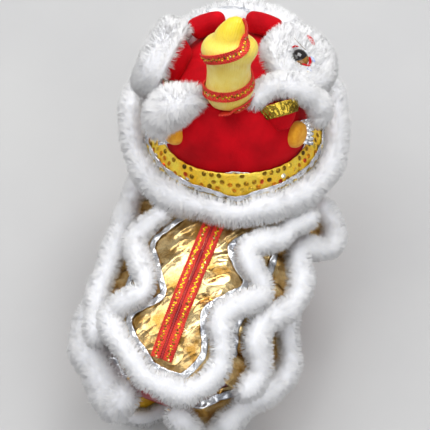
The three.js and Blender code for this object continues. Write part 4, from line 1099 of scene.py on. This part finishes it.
def trunkSurface(u, v):
    angle = -turnOnce * u
    low = (1 - np.cos(angle)) / 2
    y = mix(mix(trunk["neckTop"], trunk["neckLow"], low), mix(trunk["tailTop"], trunk["tailLow"], low), v)
    middle = along(saddle, y, 3) - trunk["below"] - trunk["halfHeight"]
    fold = 0.5 * np.sin(y / 5 + 3 * np.sin(angle * 2)) * low
    x = (along(saddle, y, 2) + fold) * np.sin(angle)
    z = middle + (trunk["halfHeight"] + fold) * np.cos(angle)
    # the seat drops over the rump
    curl = np.clip((v - trunk["seatFrom"]) / (1 - trunk["seatFrom"]), 0, 1) * (1 - low) ** 0.7
    x, y = x * (1 - trunk["seatNarrow"] * curl), y - trunk["seatBack"] * curl
    z = z - trunk["seatDrop"] * curl ** 1.6
    for hx, hy, hr in trunk["holes"]:
        # cloth by a leg opening is drawn onto its edge
        dx, dy = x - hx, y - hy
        r = np.maximum(np.hypot(dx, dy), 1e-6)
        near = (np.abs(r - hr) < trunk["holeNear"]) & (z < middle)
        x, y = np.where(near, hx + dx / r * hr, x), np.where(near, hy + dy / r * hr, y)
    return points(x, y, z)


barrel = shapeCloth("coatBody", trunkSurface, (110, 76), trunk["wall"], "red_satin", ("coat_body",),
                    wrapped=True)
bm = bmesh.new()
bm.from_mesh(barrel.data)
openings = [face for face in bm.faces if face.calc_center_median().z < -0.03 and any(
    math.hypot(face.calc_center_median().x / mm - hx, face.calc_center_median().y / mm - hy) < hr - 0.3
    for hx, hy, hr in trunk["holes"])]
bmesh.ops.delete(bm, geom=openings, context="FACES")
bm.to_mesh(barrel.data)
bm.free()
declareCloth(trunkSurface)

# Hind leg sleeves with fur cuffs
sleeves = {"left": (-37, -160), "right": (40, -152)}
sleeve = {"radius": 22, "top": -42, "end": -112, "wall": 1.3, "pleats": 11, "pleat": 0.9, "cuffRadius": 8.5}


def sleeveSurface(cx, cy):
    def surface(u, v):
        angle = turnOnce * u
        x, y = cx + sleeve["radius"] * np.cos(angle), cy + sleeve["radius"] * np.sin(angle)
        inside = np.sqrt(np.maximum(0, 1 - (x / along(saddle, y, 2)) ** 2))
        under = along(saddle, y, 3) - trunk["below"] - trunk["halfHeight"] * (1 + inside) - 0.8
        top = np.minimum(under, sleeve["top"])
        pleat = sleeve["pleat"] * np.sin(sleeve["pleats"] * angle + 2 * v) * (0.4 + 0.6 * v)
        r = sleeve["radius"] - 0.9 + pleat
        return points(cx + r * np.cos(angle), cy + r * np.sin(angle), mix(sleeve["end"], top, v))
    return surface


for k, (side, (cx, cy)) in enumerate(sleeves.items()):
    tube = sleeveSurface(cx, cy)
    leg = shapeCloth("sleeve" + side.title(), tube, (110, 24), sleeve["wall"], "yellow_lame",
                     ("sleeve_" + side,), wrapped=True)
    ring = np.linspace(0, turnOnce * 0.985, 120)
    cuffR = sleeve["radius"] + sleeve["cuffRadius"] * fur["seat"] + 1.6
    spots = points(cx + cuffR * np.cos(ring), cy + cuffR * np.sin(ring), sleeve["end"] - 2)
    line = layLine(spots, points(np.cos(ring), np.sin(ring), 0))
    cuff = furEdge("cuffFur" + side.title(), line, sleeve["cuffRadius"], dict(fur, count=8000, nap=(0, 0, 0)),
                   91 + k, "cuff_fur_" + side)
    declareCloth(tube)
print("sleeves shaped")

# Pale floor, a soft sky and three soft boxes
stage = {"floor": -0.1275, "size": 3.0, "aim": (0, -0.02, 0.05), "lamps": [
    ((-0.8, -0.05, 1.4), 1.3, 13), ((0.85, -0.55, 1.1), 1.3, 7.5), ((0.05, 0.85, 1.35), 0.8, 12.5)]}
bm = bmesh.new()
bmesh.ops.create_grid(bm, x_segments=1, y_segments=1, size=stage["size"] / 2)
bmesh.ops.translate(bm, verts=bm.verts, vec=(0, 0, stage["floor"]))
material, tree, shader, place = startMaterial("paperBackdrop", {"Roughness": 0.85})
mottle(tree, shader, place, 300, ("#c4c4c4", "#cacac9"))
mesh = meshFrom(bm, "floor")
mesh.materials.append(material)
floor = addObject("floor", mesh)
for k, (place, size, power) in enumerate(stage["lamps"]):
    lamp = bpy.data.lights.new(f"softbox{k}", "AREA")
    lamp.energy, lamp.size = power, size
    box = addObject(f"softbox{k}", lamp)
    box.location = place
    aim = -np.array(place) + np.array(stage["aim"])
    tilt, turn = math.acos(-aim[2] / np.linalg.norm(aim)), math.atan2(aim[1], aim[0]) - math.pi / 2
    box.rotation_euler = (tilt, 0, turn)
world = bpy.data.worlds.new("studio")
bpy.context.scene.world = world
world.use_nodes = True
tree = world.node_tree
sky = addNode(tree, "ShaderNodeSeparateXYZ", {0: addNode(tree, "ShaderNodeTexCoord").outputs["Generated"]})
glow = addNode(tree, "ShaderNodeMapRange", {
    "From Min": -0.2, "From Max": 1.0, "To Min": 0.24, "To Max": 0.4, "Value": sky.outputs["Z"]})
tree.nodes["Background"].inputs["Color"].default_value = hexColour("#fafbff")
tree.links.new(glow.outputs[0], tree.nodes["Background"].inputs["Strength"])


def triangleCount(piece):
    mesh = piece.evaluated_get(bpy.context.evaluated_depsgraph_get()).data
    return sum(len(face.vertices) - 2 for face in mesh.polygons)


shown = [piece for piece in bpy.data.objects if piece.type == "MESH" and not piece.hide_render]
print("triangles", sum(triangleCount(piece) for piece in shown))
